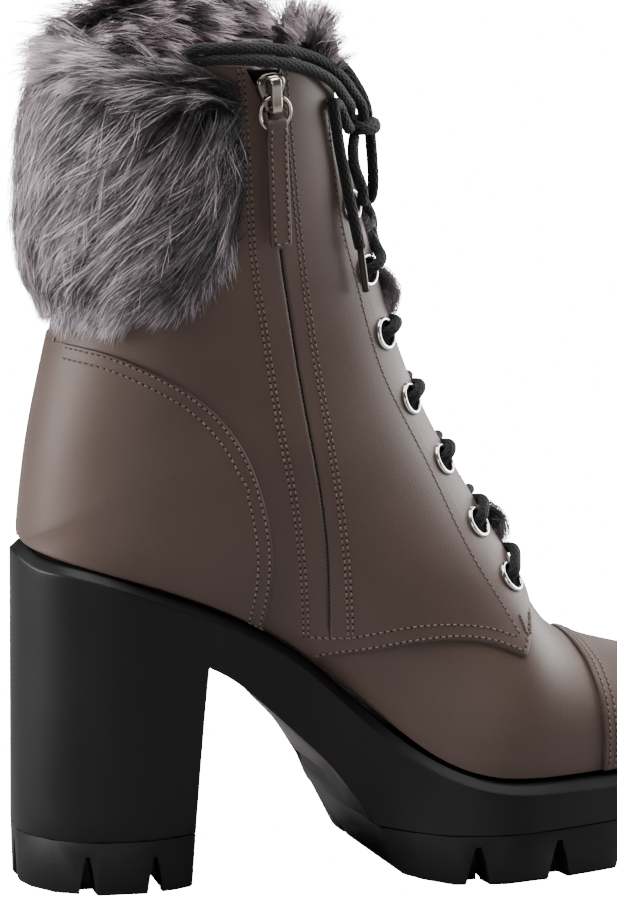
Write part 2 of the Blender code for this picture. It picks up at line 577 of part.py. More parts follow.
def make_tongue():
    """Padded tongue under the facings, crowned where the throat leaves it free."""
    rows = np.append(rows_between(8.3, COLLAR_ROW), TONGUE_TOP_ROW)
    half = np.array([0.0, 0.021, TONGUE_CROWN, 0.1, 0.155, TONGUE_HALF])
    q = np.concatenate([-half[:0:-1], half])
    crown = np.clip(1 - (np.abs(q) / TONGUE_CROWN) ** 2, 0, 1)
    rim = np.clip((TONGUE_HALF - np.abs(q)) / 0.06, 0, 1)
    ends = np.clip((rows - 8.3) / 1.2, 0, 1)[:, None]
    under = UPPER_FACE - UPPER_WALL - 0.8
    v, across = np.meshgrid(rows, q, indexing="ij")
    face = form(v, across, under + TONGUE_RISE * crown * ends)
    back = form(v, across, under - TONGUE_THICK * (0.35 + 0.65 * rim) * (0.5 + 0.5 * ends))
    wall("tongue", face.reshape(-1, 3), back.reshape(-1, 3), grid_triangles(*v.shape)[:, ::-1],
         FINISH["fur"])


# ---------------------------------------------------------------- fur
def fur_ring(around):
    """Section of the fur cuff: its bulging face, its top over the collar, and its seat."""
    table = np.array(FUR_CUFF)
    low, top, thick = natural_spline(table[:, 0], table[:, 1:], around)
    q = -around if around <= 1 else 2 - around
    collar = form_point(COLLAR_ROW, q)[2]
    place = (around - table[0, 0]) / (table[-1, 0] - table[0, 0])
    ring = []
    for share, bulge in FUR_PROFILE:
        ridge = abs(math.sin(math.pi * (LOCKS * place + LOCK_LEAN * share)))
        z = low + share * (top - low) - LOCK_TIP * ridge * (1 - share) ** 3
        ring.append(shaft_point(q, z, thick * bulge * (1 - LOCK_DEPTH * (1 - ridge))))
    over = min(max((top - collar - 4.0) / 6.0, 0.0), 1.0)
    inside = FUR_SEAT * (1 - over) - 3.5 * over
    ring.append(shaft_point(q, top - 2.0, inside))
    ring.append(shaft_point(q, min(collar + 1.5, top - 2.4), inside))
    upper_seat = min(collar + 1.2, top - 2.8)
    for share in (1.0, 0.66, 0.33, 0.0):
        ring.append(shaft_point(q, low + 1.0 + share * (upper_seat - low - 1.0), FUR_SEAT))
    return ring


def make_fur_cuff():
    """Cuff of fur round the collar from the zip to the outer facing, with its locks fused on."""
    ends = FUR_CUFF[0][0], FUR_CUFF[-1][0]
    loft("fur_cuff", [fur_ring(a) for a in np.linspace(*ends, LOCKS * LOCK_COLUMNS + 1)],
         FINISH["fur"])


# ---------------------------------------------------------------- eyelets and laces
def make_eyelets():
    """Rolled metal rims, seven a side, each on the form's own normal."""
    turns = np.linspace(0, 2 * np.pi, EYELET_SIDES, endpoint=False)
    for k, (v, share) in enumerate(zip(EYELET_ROWS, EYELET_SHARES), 1):
        for side, sign in (("inner", -1), ("outer", 1)):
            centre, axis = form(v, sign * share), form_normal(v, sign * share)
            level = np.cross(axis, (0.0, 0.0, 1.0))
            level /= np.linalg.norm(level)
            rise = np.cross(level, axis)
            points = [centre + height * axis + radius * (math.cos(t) * level + math.sin(t) * rise)
                      for t in turns for radius, height in EYELET_RIM]
            size = len(EYELET_RIM)
            faces = [(i * size + j, i * size + (j + 1) % size,
                      (i + 1) % EYELET_SIDES * size + (j + 1) % size,
                      (i + 1) % EYELET_SIDES * size + j)
                     for i in range(EYELET_SIDES) for j in range(size)]
            solid(f"eyelet_{side}_{k}", points, faces, FINISH["metal"])


def cross_path(k, sign):
    """Middle of one strand: from an eyelet, down over the tongue, to the other facing's edge."""
    v = np.linspace(EYELET_ROWS[k], EYELET_ROWS[k + 1], 7)
    end = CROSS_END_TOP if k == len(EYELET_ROWS) - 2 else CROSS_END
    q = np.linspace(sign * EYELET_SHARES[k], -sign * end, 7)
    return form(v, q, np.interp(sign * q, (CROSS_DIVE, EYELET_SHARES[k] - CROSS_START),
                                (LACE_LOW, LACE_LIFT)))


def make_crosses():
    """One piece for each crossing of the lace: two strands joined where they meet."""
    for k in range(len(EYELET_ROWS) - 1):
        strands = [loft(f"{name}_{k + 1}", tube_rings(cross_path(k, sign), LACE / 2, 6),
                        FINISH["lace"])
                   for name, sign in (("lace_cross", -1), ("join_cross", 1))]
        hide(strands[1])
        cut(strands[0], strands[1], "UNION")


def make_bow():
    """Strands from the top eyelets, the knot, its two loops and its two ends with their tips."""
    for name, (spacing, route) in BOW.items():
        cord(name, route, TIP if name.startswith("aglet") else LACE, FINISH["lace"], spacing)


# ---------------------------------------------------------------- zip's slider and pull
def frame_at(origin, along, normal):
    """Matrix of a local frame: columns are across, along and out of the surface."""
    along = np.asarray(along) / np.linalg.norm(along)
    normal = normal - along * normal.dot(along)
    normal /= np.linalg.norm(normal)
    return np.asarray(origin), np.stack([np.cross(normal, along), along, normal])


def placed(frame, rings):
    origin, axes = frame
    return origin + np.asarray(rings, float) @ axes


def extruded(name, frame, outline, half, finish):
    """Solid from an outline in the along and out directions, `half` to either side."""
    outline = np.asarray(outline, float)
    rings = [np.insert(outline, 0, across, axis=1) for across in (-half, half)]
    return loft(name, placed(frame, rings), finish)


def make_slider():
    """Slider's body on the teeth, and its bridge with a tunnel for the ring."""
    seat, middle = (form_point(*side_place(x, z)) for x, z in SLIDER_LINE)
    v, q = side_place(*SLIDER_LINE[1])
    frame = frame_at(middle, middle - seat, form_normal(v, q))
    half = np.array(SLIDER_HALF)
    outline = np.concatenate([half[:, ::-1], half[::-1, ::-1] * (-1, 1)])
    rings = [np.insert(outline * (grow, 1), 2, height, axis=1)
             for height, grow in ((0.4, 1.0), (1.9, 1.0), (2.6, 0.82))]
    slider = loft("zip_slider", placed(frame, rings), FINISH["metal"])
    bridge = extruded("join_bridge", frame, BRIDGE, 1.7, FINISH["metal"])
    hide(bridge)
    cut(slider, bridge, "UNION")
    return frame


def make_pull(frame):
    """Ring through the slider's bridge, and the leather tab folded round it."""
    origin, (across, _, normal) = frame
    axis = origin + PULL_AXIS * normal
    foot = form(*side_place(*PULL_FOOT), PULL_AXIS)
    hang = axis - foot
    hang -= across * hang.dot(across)
    pull = frame_at(axis, hang, normal)
    steps, sides = 16, 6
    turns = np.arange(steps) * 2 * np.pi / steps
    ring = np.stack([RING_RADIUS * np.sin(turns), RING_RADIUS * (np.cos(turns) - 1), 0 * turns], 1)
    out = np.stack([np.sin(turns), np.cos(turns), 0 * turns], 1)
    rim = np.arange(sides) * 2 * np.pi / sides
    points = (ring[:, None] + RING_WIRE * np.cos(rim)[None, :, None] * out[:, None]
              + RING_WIRE * np.sin(rim)[None, :, None] * np.array([0.0, 0.0, 1.0]))
    faces = [(i * sides + j, i * sides + (j + 1) % sides,
              (i + 1) % steps * sides + (j + 1) % sides, (i + 1) % steps * sides + j)
             for i in range(steps) for j in range(sides)]
    solid("pull_ring", placed(pull, points.reshape(-1, 3)), faces, FINISH["metal"])
    rings = [[(-half, along_tab, -thick), (half, along_tab, -thick), (half, along_tab, thick),
              (-half, along_tab, thick)] for along_tab, half, thick in TAB]
    tab = loft("pull_tab", placed(pull, rings), FINISH["leather"])
    pocket = [(TAB_POCKET[0], -TAB_OPENING), (TAB_POCKET[1], -TAB_OPENING),
              (TAB_POCKET[1], TAB_OPENING), (TAB_POCKET[0], TAB_OPENING)]
    cutter = extruded("cut_tab", pull, pocket, 6.0, FINISH["cutter"])
    hide(cutter)
    cut(tab, cutter)


# ---------------------------------------------------------------- sole
def sole_outline(top_x, reach):
    """Inner and outer edge points standing `reach` past the feather line, in plan."""
    step = 0.02
    ends = np.clip(top_x + np.array([-step, step]), FEATHER_X[0], FEATHER_X[-1])
    widths = feather(ends)
    here = feather(top_x)
    edges = []
    for k, out in zip((0, 1), reach):
        rise = np.array([ends[1] - ends[0], widths[1][k] - widths[0][k]])
        normal = np.array([-rise[1], rise[0]]) / np.linalg.norm(rise)
        if top_x <= FEATHER_X[0]:
            normal = np.array([-1.0, 0.0])
        if top_x >= FEATHER_X[-1]:
            normal = np.array([1.0, 0.0])
        edges.append(np.array([top_x, here[k]]) + out * normal)
    return edges


def sole_ring(row):
    """One ring of the sole: flat seat, bevelled lip, side wall, rim and recessed underside."""
    top_x, low_z = row[0], row[2]
    seat = float(feather_height(top_x)) - SEAT_DROP
    heights = ((0.3, seat), (LIP_REACH - 0.3, seat - LIP_BEVEL + 0.6), (LIP_REACH, seat - LIP_BEVEL))
    ring = [(top_x, 0.0, seat)]
    sides = []
    for k, sign in ((0, -1), (1, 1)):
        side = []
        for reach, z in heights:
            x, y = sole_outline(top_x, (reach, reach))[k]
            side.append((x, sign * y, z))
        x, y = low_edge(row)[k]
        side.append((x, y, low_z))
        inset = max(abs(y) - 4.0, 0.0)
        rise = COVER_RECESS if 60 < top_x < 112 else 0.0
        side.append((x, sign * inset, low_z))
        side.append((x, sign * max(inset - 0.6, 0.0), low_z + rise))
        sides.append(side)
    middle = (0.5 * (sides[0][-1][0] + sides[1][-1][0]), 0.0, sides[0][-1][2])
    return ring + sides[1] + [middle] + sides[0][::-1]


def make_sole_unit():
    rings = [sole_ring(row) for row in SOLE]
    return loft("sole_unit", rings, FINISH["rubber"])


def low_edge(row, inset=0.0):
    """Inner and outer edge points of the underside at one station, as (x, y) pairs."""
    top_x, slide, _, flare_in, flare_out = row
    edges = sole_outline(top_x, (flare_in - inset, flare_out - inset))
    back = np.interp(top_x, *np.transpose(OUTER_BACK))
    (x_in, y_in), (x_out, y_out) = edges
    return [(x_in + slide, -max(y_in, 0.0)), (x_out + slide - back, max(y_out, 0.0))]


def tread_loop(rows, inset, front):
    """Closed plan outline through the edge points of some stations, closed by a curve in front."""
    pairs = [low_edge(row, inset) for row in rows]
    inner = [pair[0] for pair in pairs]
    outer = [pair[1] for pair in pairs]
    bridge = [(front, FRONT_SQUARE * inner[-1][1]), (front + 0.6, 0.0),
              (front, FRONT_SQUARE * outer[-1][1])]
    return np.array(inner + bridge + outer[::-1])


def notch(name, place, toward, foot, tall=LUG_HEIGHT):
    """Cutter of one notch: an arched wedge set into the tread's side, pointing `toward`."""
    aim = np.subtract(toward, place) / np.linalg.norm(np.subtract(toward, place))
    side = np.array([-aim[1], aim[0]])
    arch = ((-0.5, 0.0), (0.5, 0.0), (0.29, 0.62), (0.1, 1.0), (-0.1, 1.0), (-0.29, 0.62))
    rings = []
    for reach, narrow, low in ((-5.0, 1.0, 1.0), (NOTCH_REACH, 0.55, 0.62)):
        centre = place + aim * reach
        rings.append([(*(centre + side * across * foot * narrow), share * (tall * low + 1) - 1)
                      for across, share in arch])
    cutter = loft(name, rings, FINISH["cutter"])
    hide(cutter)
    return cutter


def cross_channel(name, x, half_width, depth=4.5, width=5.0):
    """Cutter of a shallow channel across the tread, from notch to notch."""
    outline = [(x - width / 2 - 0.6, -1.0), (x + width / 2 + 0.6, -1.0), (x + width / 2 - 0.8, depth),
               (x - width / 2 + 0.8, depth)]
    return prism(name, outline, -half_width, half_width)


def make_heel_lift():
    rows = SOLE[1:HEEL_STATIONS]
    rings = []
    for z, inset, front in ((HEEL_SEAM - GAP, 0.1, 55.2), (0.9, 0.5, 53.2), (0.0, 1.3, 52.4)):
        loop = tread_loop(rows, inset, front)
        loop[:, 0] = np.minimum(loop[:, 0], front + 0.6)
        rings.append(np.insert(loop, 2, z, axis=1))
    lift = loft("heel_lift", rings, FINISH["tread"])
    places = ((18.0, 29.0), (40.5, 33.0))
    for k, (x, y) in enumerate(places):
        for side, sign in (("inner", -1), ("outer", 1)):
            cut(lift, notch(f"cut_lift_{side}_{k}", (x, sign * y), (x + 3 * (1 - k), 0), HEEL_NOTCH))
    cut(lift, notch("cut_lift_back", (-3.0, 0.0), (20, 0), HEEL_NOTCH))
    cut(lift, cross_channel("cut_lift_channel", 40.5, 26.0))


def toe_spring(x):
    """Height of the forefoot's tread off the floor: flat under the ball, then rising."""
    return TOE_SPRING * np.clip((x - SPRING_START) / (FEATHER_X[-1] - SPRING_START), 0, 1.2) ** 2


def make_forefoot_tread():
    """Lug tread of the forefoot: its rear face carries on the curve of the waist."""
    rings = []
    for row in SOLE[TREAD_FIRST:]:
        ring = []
        for z, inset in ((TREAD_SEAM - GAP, 0.1), (1.3, 0.3), (0.0, 1.5)):
            (x_in, y_in), (x_out, y_out) = low_edge(row, inset)
            x_in += TREAD_RAKE * (1 - z / TREAD_SEAM) * np.clip((136.0 - x_in) / 20.0, 0, 1)
            x_out += TREAD_RAKE * (1 - z / TREAD_SEAM) * np.clip((132.0 - x_out) / 20.0, 0, 1)
            lift = toe_spring(row[0]) if z < 2 else 0.0
            ring = [(x_in, y_in, z + lift), *ring, (x_out, y_out, z + lift)]
        rings.append(ring)
    tread = loft("forefoot_tread", rings, FINISH["tread"])
    places = ((146.5, 49.0), (175.0, 46.0), (201.0, 37.0), (221.5, 25.0))
    for k, (x, y) in enumerate(places, 1):
        for side, sign in (("inner", -1), ("outer", 1)):
            cut(tread, notch(f"cut_tread_{side}_{k}", (x, sign * y), (x - 3.0 * k, 0), FORE_NOTCH))
    cut(tread, notch("cut_tread_rear", (119.0, 24.0), (140.0, 18.0), 5.0, 4.5))
    for k, x in enumerate((146.5, 174.0)):
        cut(tread, cross_channel(f"cut_tread_channel_{k}", x, 40.0 - 3.0 * k))


def make_waist_cover():
    """Thin plate in the recess under the waist, a little short of the breast and the tread."""
    rows = np.array(SOLE[HEEL_STATIONS:TREAD_FIRST], float)
    rows[0] += 0.3 * (rows[1] - rows[0])
    rows[-1] += 0.2 * (rows[-2] - rows[-1])
    rings = []
    for row in rows:
        (x_in, y_in), (x_out, y_out) = low_edge(row)
        sides = ((x_in, y_in + COVER_INSET), (x_out, y_out - COVER_INSET))
        rings.append([(*sides[0], row[2] + 0.2), (*sides[1], row[2] + 0.2),
                      (*sides[1], row[2] + 1.2), (*sides[0], row[2] + 1.2)])
    loft("waist_cover", rings, FINISH["cover"])


def make_insole():
    """Board and sock on the sole's seat, inside the upper's wall, on the sole's own stations."""
    rings = []
    for top_x in column(SOLE, SOLE_COLUMNS, "top_x")[2:-1]:
        inner, outer = sole_outline(top_x, (-INSOLE_INSET, -INSOLE_INSET))
        seat = float(feather_height(top_x)) - SEAT_DROP + GAP
        ring = [(inner[0], -inner[1]), (outer[0], outer[1])]
        rings.append([(*ring[0], seat), (*ring[1], seat), (*ring[1], seat + INSOLE_THICK),
                      (*ring[0], seat + INSOLE_THICK)])
    loft("insole", rings, FINISH["insole"])


# ---------------------------------------------------------------- build
def clear_scene():
    for item in list(bpy.data.objects):
        bpy.data.objects.remove(item, do_unlink=True)


clear_scene()
FINISH = {
    "leather": material("leather", (0.106, 0.082, 0.072), 0.5),
    "lining": material("lining", (0.09, 0.07, 0.062), 0.6),
    "fur": material("fur", (0.16, 0.14, 0.15), 0.85),
    "rubber": material("rubber", (0.018, 0.017, 0.017), 0.5),
    "tread": material("tread", (0.022, 0.02, 0.02), 0.6),
    "cover": material("cover", (0.12, 0.09, 0.08), 0.6),
    "insole": material("insole", (0.1, 0.08, 0.07), 0.7),
    "metal": material("metal", (0.75, 0.72, 0.68), 0.2, 1.0),
    "tape": material("tape", (0.01, 0.01, 0.01), 0.8),
    "lace": material("lace", (0.012, 0.012, 0.012), 0.8),
    "cutter": material("cutter", (1.0, 0.2, 0.1), 0.5),
}
make_upper()
make_quarters()
make_counter()
make_toe_cap()
make_zip()
make_tongue()
make_sole_unit()
make_heel_lift()
make_forefoot_tread()
make_waist_cover()
make_insole()
make_fur_cuff()
make_eyelets()
make_crosses()
make_bow()
make_pull(make_slider())
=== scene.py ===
"""Left ankle boot in smooth leather, with a fur cuff, a side zip, laces and a lug platform.

Lengths are in millimetres, with x counted from the back of the heel; `to_frame` turns them into
the frame's metres.  -Y is the inner side, where the zip is.  The leather pieces are grids of rows
and columns of one form: row v fans from the toe over the ankle to the back seam, and column q runs
across it, 0 on the top or front line and -1 and +1 on the feather line or the back seam.
"""
import math

import bpy
import bmesh
import numpy as np
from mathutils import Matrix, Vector


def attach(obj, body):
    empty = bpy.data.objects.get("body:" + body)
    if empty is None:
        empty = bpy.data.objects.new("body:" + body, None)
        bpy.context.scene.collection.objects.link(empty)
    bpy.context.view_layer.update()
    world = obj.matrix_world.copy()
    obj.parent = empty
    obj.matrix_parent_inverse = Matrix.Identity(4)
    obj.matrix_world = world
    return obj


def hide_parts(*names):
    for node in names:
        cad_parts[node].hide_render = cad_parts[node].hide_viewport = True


bl_info = {
    "name": "Fur-cuffed ankle boot",
    "version": (1, 0, 0),
    "blender": (4, 5, 0),
    "location": "3D View > Sidebar > Boot",
    "description": "Dresses the frame of an ankle boot in leather, rubber, metal, lace and fur",
    "category": "Object",
}

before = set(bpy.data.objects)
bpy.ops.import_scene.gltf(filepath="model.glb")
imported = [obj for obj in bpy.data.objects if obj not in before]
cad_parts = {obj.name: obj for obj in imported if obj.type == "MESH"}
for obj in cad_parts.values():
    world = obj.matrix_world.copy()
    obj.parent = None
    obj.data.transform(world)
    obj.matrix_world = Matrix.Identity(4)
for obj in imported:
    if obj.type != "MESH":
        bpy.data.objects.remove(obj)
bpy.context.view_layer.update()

MM = 0.001
ORIGIN_X = 28.0                # x of the frame's origin
SWING_START, TOE_SWING = 140.0, 6.0     # where the toe starts to curve inwards, and how far
THROAT_ROW, THROAT_HALF = 8.05, 0.058
THROAT_FOOT = THROAT_ROW - 0.05
COLLAR_ROW, COLLAR_DROP = 24.0, 0.85
HEEL_ROW = 18.0                # last row that ends on the feather line
SEAM_FOOT = 11.75              # row where the quarters' lower edge meets the feather line
SEAT_DROP = 1.7                # how far the sole's seat lies under the feather line
LACE, AGLET_RADIUS = 3.8, 1.2  # width of the lace, and of half a tip
UNWORN = 9.0                   # stated distance from an edge where there is none near
SIDE_POINTS = 200              # points of a dense line
UP = np.array([0.0, 0.0, 1.0])
BODY = "boot"

# Rows of the form: row, top x and z, low x and z, half width inside and outside, the share of the
# height where it is widest, and how full the curves below and above that are.
SECTIONS = np.array((
    (0, 237.2, 34.4, 237.2, 34.4, 0.0, 0.0, 0.40, 2.3, 2.5),
    (1, 238.2, 44.0, 235.6, 34.3, 9.5, 9.8, 0.40, 2.3, 2.5),
    (2, 235.6, 53.8, 230.6, 34.2, 16.4, 17.4, 0.38, 2.3, 2.5),
    (4, 217.2, 65.8, 214.5, 34.0, 27.4, 30.0, 0.34, 2.3, 2.45),
    (6, 192.5, 73.0, 190.0, 33.8, 37.6, 40.4, 0.30, 2.3, 2.25),
    (7, 180.8, 81.2, 174.0, 34.1, 42.6, 44.0, 0.27, 2.3, 2.1),
    (8, 172.8, 94.4, 158.0, 35.0, 45.2, 45.8, 0.25, 2.3, 1.95),
    (10, 156.8, 122.8, 127.0, 47.4, 39.0, 42.5, 0.27, 2.3, 1.8),
    (12, 141.2, 150.6, 89.0, 80.0, 33.6, 36.0, 0.36, 2.2, 1.85),
    (14, 131.2, 174.0, 44.0, 102.8, 34.0, 34.8, 0.42, 2.2, 1.95),
    (16, 125.4, 193.0, 11.0, 113.2, 34.0, 34.2, 0.43, 2.2, 2.0),
    (17, 123.4, 200.5, 4.4, 115.2, 33.6, 33.8, 0.43, 2.2, 2.0),
    (18, 121.8, 206.5, 2.4, 117.0, 33.3, 33.5, 0.43, 2.2, 2.0),
    (19, 120.0, 213.0, 2.8, 125.5, 33.0, 33.2, 0.43, 2.15, 2.0),
    (20, 117.0, 224.0, 6.0, 150.0, 32.6, 32.8, 0.43, 2.1, 2.0),
    (22, 110.8, 247.0, 17.5, 208.0, 33.8, 34.0, 0.45, 2.1, 2.1),
    (24, 105.6, 272.4, 20.6, 280.0, 37.6, 37.8, 0.47, 2.1, 2.2),
))
FEATHER = np.array((          # x, inner half width, outer half width
    (2.4, 0.0, 0.0), (4.4, 10.6, 10.6), (10.8, 20.0, 20.0), (24.0, 26.8, 26.8),
    (44.0, 28.2, 28.4), (66.0, 27.2, 28.4), (88.0, 26.0, 29.2), (108.0, 28.0, 33.0),
    (126.0, 35.5, 39.5), (142.0, 42.0, 44.0), (158.0, 44.2, 45.2), (174.0, 41.6, 43.2),
    (190.0, 36.2, 39.2), (203.0, 30.8, 33.8), (214.5, 24.8, 27.4), (224.0, 18.6, 20.4),
    (231.0, 12.6, 13.8), (235.6, 6.4, 7.0), (237.2, 0.0, 0.0),
))
SOLE_HEEL = np.array((        # place on the feather line, slide, low z, inner flare, outer flare
    (2.4, -1.0, 18.5, 3.4, 3.4), (2.9, -1.0, 18.5, 3.4, 3.4), (4.8, -1.0, 18.5, 3.3, 3.3),
    (10.5, -0.8, 18.5, 3.2, 3.2), (24.0, -1.5, 18.5, 3.1, 3.1), (40.0, -3.0, 18.5, 3.0, 3.0),
    (52.0, -3.8, 18.5, 0.9, 0.9), (59.0, -4.0, 18.5, -1.0, -1.0),
))
SOLE_FRONT = np.array((
    (60.5, -2.4, 76.0, 2.4, 2.4), (68.0, -2.4, 71.8, 2.9, 2.9), (79.0, -2.4, 62.6, 3.3, 3.0),
    (91.0, -1.8, 50.8, 3.2, 3.0), (102.0, -1.2, 39.4, 2.6, 2.4), (111.0, -1.0, 27.2, 0.8, 1.0),
    (118.0, -1.8, 17.3, -2.4, -1.6), (127.0, -0.8, 17.3, 1.6, 1.2), (140.0, 0.0, 17.3, 5.2, 3.6),
    (156.0, 0.0, 17.3, 5.2, 4.0), (174.0, 0.0, 17.3, 4.0, 4.0), (190.0, 0.0, 17.3, 3.8, 3.8),
    (203.0, 0.0, 17.3, 3.8, 3.8), (214.5, 0.0, 17.3, 3.8, 3.8), (224.0, 0.0, 17.3, 3.8, 3.8),
    (231.0, 0.0, 17.3, 3.8, 3.8), (235.2, 0.0, 17.3, 3.8, 3.8), (237.2, 0.0, 17.3, 3.8, 3.8),
))
FUR_CUFF = np.array((         # around, low z, top z, thickness
    (0.455, 224, 268, 4.5), (0.50, 206, 270, 10), (0.58, 199, 276, 15), (0.66, 196, 283, 17),
    (0.75, 194, 286, 18), (0.88, 192, 283, 18), (1.0, 192, 280, 18), (1.12, 192, 280, 18),
    (1.25, 193, 281.5, 18), (1.38, 194, 286, 18), (1.5, 196, 295, 17), (1.6, 198, 302.4, 15.5),
    (1.68, 200, 300, 13), (1.78, 212, 290, 5),
))
EYELET_ROWS = (8.8, 10.0, 11.35, 13.0, 15.1, 18.0, 20.3)
EYELET_SHARES = (0.165, 0.145, 0.125, 0.132, 0.128, 0.12, 0.12)

# Lines in the side view, as (x, z).
SLIT = ((100.2, 78.9), (99.7, 84.0), (98.4, 109.4), (95.5, 136.0), (91.3, 161.0), (87.2, 189.0),
        (83.0, 217.0), (80.2, 241.0), (78.6, 258.0), (77.2, 274.6))
QUARTER_FRONT = ((165.4, 74.9), (168.2, 80.9), (170.6, 87.0))
QUARTER_LOW = ((93.2, 74.0), (97.0, 75.6), (106.0, 77.6), (116.0, 79.2), (137.0, 81.6), (153.0, 80.0),
               (160.4, 77.4), (165.4, 74.9))
COUNTER_EDGE = ((13.0, 183.4), (23.0, 182.6), (39.5, 176.6), (59.0, 163.2), (70.6, 147.6),
                (77.0, 129.5), (79.6, 114.0), (79.4, 100.0), (77.0, 84.0))
COUNTER_TOP, COUNTER_FOOT = 21.15, 12.5     # rows at the ends of the counter's edge
CAP_EDGE = ((186.6, 80.0), (190.2, 70.0), (191.8, 58.0), (192.4, 45.0), (192.6, 28.0))
CAP_BETWEEN = (4.6, 7.3)       # rows on both sides of the cap's edge
ZIP_BACK_ROW = ((69.0, 275.5), (71.2, 254.0), (73.0, 230.0), (75.4, 206.0), (78.7, 186.0),
                (82.4, 160.0), (86.5, 137.5), (90.0, 114.0), (92.9, 84.2))
ZIP_FRONT_ROW = ((84.4, 274.0), (86.8, 253.0), (90.4, 223.0), (93.3, 200.0), (96.2, 178.0),
                 (99.9, 153.0), (103.2, 130.0), (105.8, 105.0), (107.2, 84.2))
EYESTAY_ROW = ((101.2, 262.0), (104.6, 235.0), (108.4, 214.0), (112.2, 199.5), (115.6, 185.5),
               (119.4, 172.5), (124.6, 160.5), (130.6, 148.9), (136.9, 136.3), (142.2, 124.2),
               (147.2, 112.9), (152.6, 102.4), (158.2, 92.6), (163.4, 82.6))
QUARTER_TOP_ROW = ((93.0, 84.2), (107.2, 84.0), (115.5, 85.4), (124.0, 86.6), (134.9, 87.1),
                   (145.5, 86.3), (155.0, 84.4), (162.0, 81.6))

# Middle lines of the bow's cords and their tips, as (x, y, z).
BOW = {
    "lace_knot": ((112.4, -4.4, 250.2), (115.2, -6.2, 249.4), (119.3, -4.6, 249.0),
                  (121.6, -0.4, 249.2), (120.6, 3.8, 249.8), (116.6, 5.4, 250.2),
                  (113.2, 3.4, 250.4)),
    "lace_rise_inner": ((114.6, -14.2, 225.5), (114.8, -13.8, 230.2), (113.4, -12.2, 235.0),
                        (113.0, -8.4, 243.6), (114.0, -6.2, 246.6)),
    "lace_rise_outer": ((114.6, 14.2, 225.5), (119.6, 12.2, 224.0), (122.4, 7.6, 223.2),
                        (122.8, 3.4, 227.2), (122.2, 1.6, 236.4), (121.4, 1.6, 246.4)),
    "lace_loop_inner": ((117.2, -5.6, 252.6), (116.8, -5.6, 255.8), (114.3, -7.0, 259.8),
                        (109.6, -12.0, 265.6), (104.3, -17.0, 270.6), (98.4, -22.3, 274.6),
                        (90.4, -27.8, 277.9), (84.5, -32.2, 279.6), (75.2, -36.8, 281.2),
                        (64.7, -40.4, 282.1), (56.0, -41.8, 282.3), (51.4, -42.2, 282.0),
                        (49.6, -41.8, 280.9), (51.4, -41.8, 279.0), (56.0, -42.2, 278.5),
                        (64.4, -41.2, 278.4), (74.6, -38.8, 277.4), (83.8, -35.2, 275.7),
                        (90.2, -31.6, 274.0), (97.0, -26.9, 270.9), (103.7, -21.2, 266.3),
                        (108.9, -14.2, 260.5), (111.9, -9.0, 256.6), (112.2, -6.0, 253.0)),
    "lace_loop_outer": ((120.6, 1.6, 252.3), (119.8, 1.8, 256.0), (117.1, 5.0, 262.7),
                        (114.8, 8.0, 266.7), (111.4, 11.0, 270.1), (108.8, 14.0, 272.5),
                        (106.3, 18.0, 273.6), (104.4, 22.0, 271.0), (103.6, 24.4, 264.5),
                        (103.6, 25.2, 257.0), (105.2, 24.8, 251.6), (108.2, 21.8, 250.6),
                        (109.2, 20.0, 255.0), (109.6, 17.6, 261.0), (111.6, 12.4, 262.4),
                        (114.2, 8.0, 258.6), (114.4, 5.2, 253.2)),
    "lace_end_inner": ((111.5, -9.4, 249.8), (108.4, -14.4, 254.0), (104.7, -19.4, 259.8),
                       (103.4, -21.6, 260.0), (104.0, -21.2, 253.0), (105.6, -19.6, 245.0),
                       (107.4, -18.7, 236.9), (108.9, -18.9, 229.2), (110.5, -19.2, 221.6),
                       (111.9, -19.6, 214.6), (112.5, -19.7, 212.0)),
    "lace_end_outer": ((112.0, 7.9, 249.6), (110.3, 13.4, 246.6), (108.4, 18.4, 241.4),
                       (107.9, 19.4, 235.0), (108.9, 19.2, 228.0), (110.5, 19.4, 220.4),
                       (111.9, 19.4, 211.6), (113.0, 20.2, 204.0)),
    "aglet_inner": ((112.7, -19.8, 211.2), (113.4, -20.2, 205.0), (114.2, -20.8, 197.7)),
    "aglet_outer": ((113.1, 20.3, 203.4), (113.9, 21.0, 197.0), (114.6, 21.8, 189.6)),
}


# ---------------------------------------------------------------- curves and the form
def natural_spline(knots, values, at):
    """Natural cubic through (knots, values), read at the places `at`, straight past its ends."""
    knots = np.asarray(knots, float)
    values = np.asarray(values, float).reshape(len(knots), -1)
    steps = np.diff(knots)[:, None]
    chords = np.diff(values, axis=0) / steps
    system = np.eye(len(knots))
    right = np.zeros_like(values)
    inner = np.arange(1, len(knots) - 1)
    system[inner, inner - 1] = steps[inner - 1, 0]
    system[inner, inner] = 2 * (steps[inner - 1, 0] + steps[inner, 0])
    system[inner, inner + 1] = steps[inner, 0]
    right[1:-1] = 6 * (chords[1:] - chords[:-1])
    bend = np.linalg.solve(system, right)
    at = np.asarray(at, float)
    inside = np.clip(at, knots[0], knots[-1])
    k = np.clip(np.searchsorted(knots, inside, side="right") - 1, 0, len(knots) - 2)
    step = steps[k]
    up = (inside - knots[k])[..., None]
    down = step - up
    curve = ((bend[k] * down ** 3 + bend[k + 1] * up ** 3) / (6 * step)
             + (values[k] / step - bend[k] * step / 6) * down
             + (values[k + 1] / step - bend[k + 1] * step / 6) * up)
    first = chords[0] - bend[1] * steps[0] / 6
    last = chords[-1] + bend[-2] * steps[-1] / 6
    past = (at - inside)[..., None]
    return curve + np.where(past > 0, last, first) * past


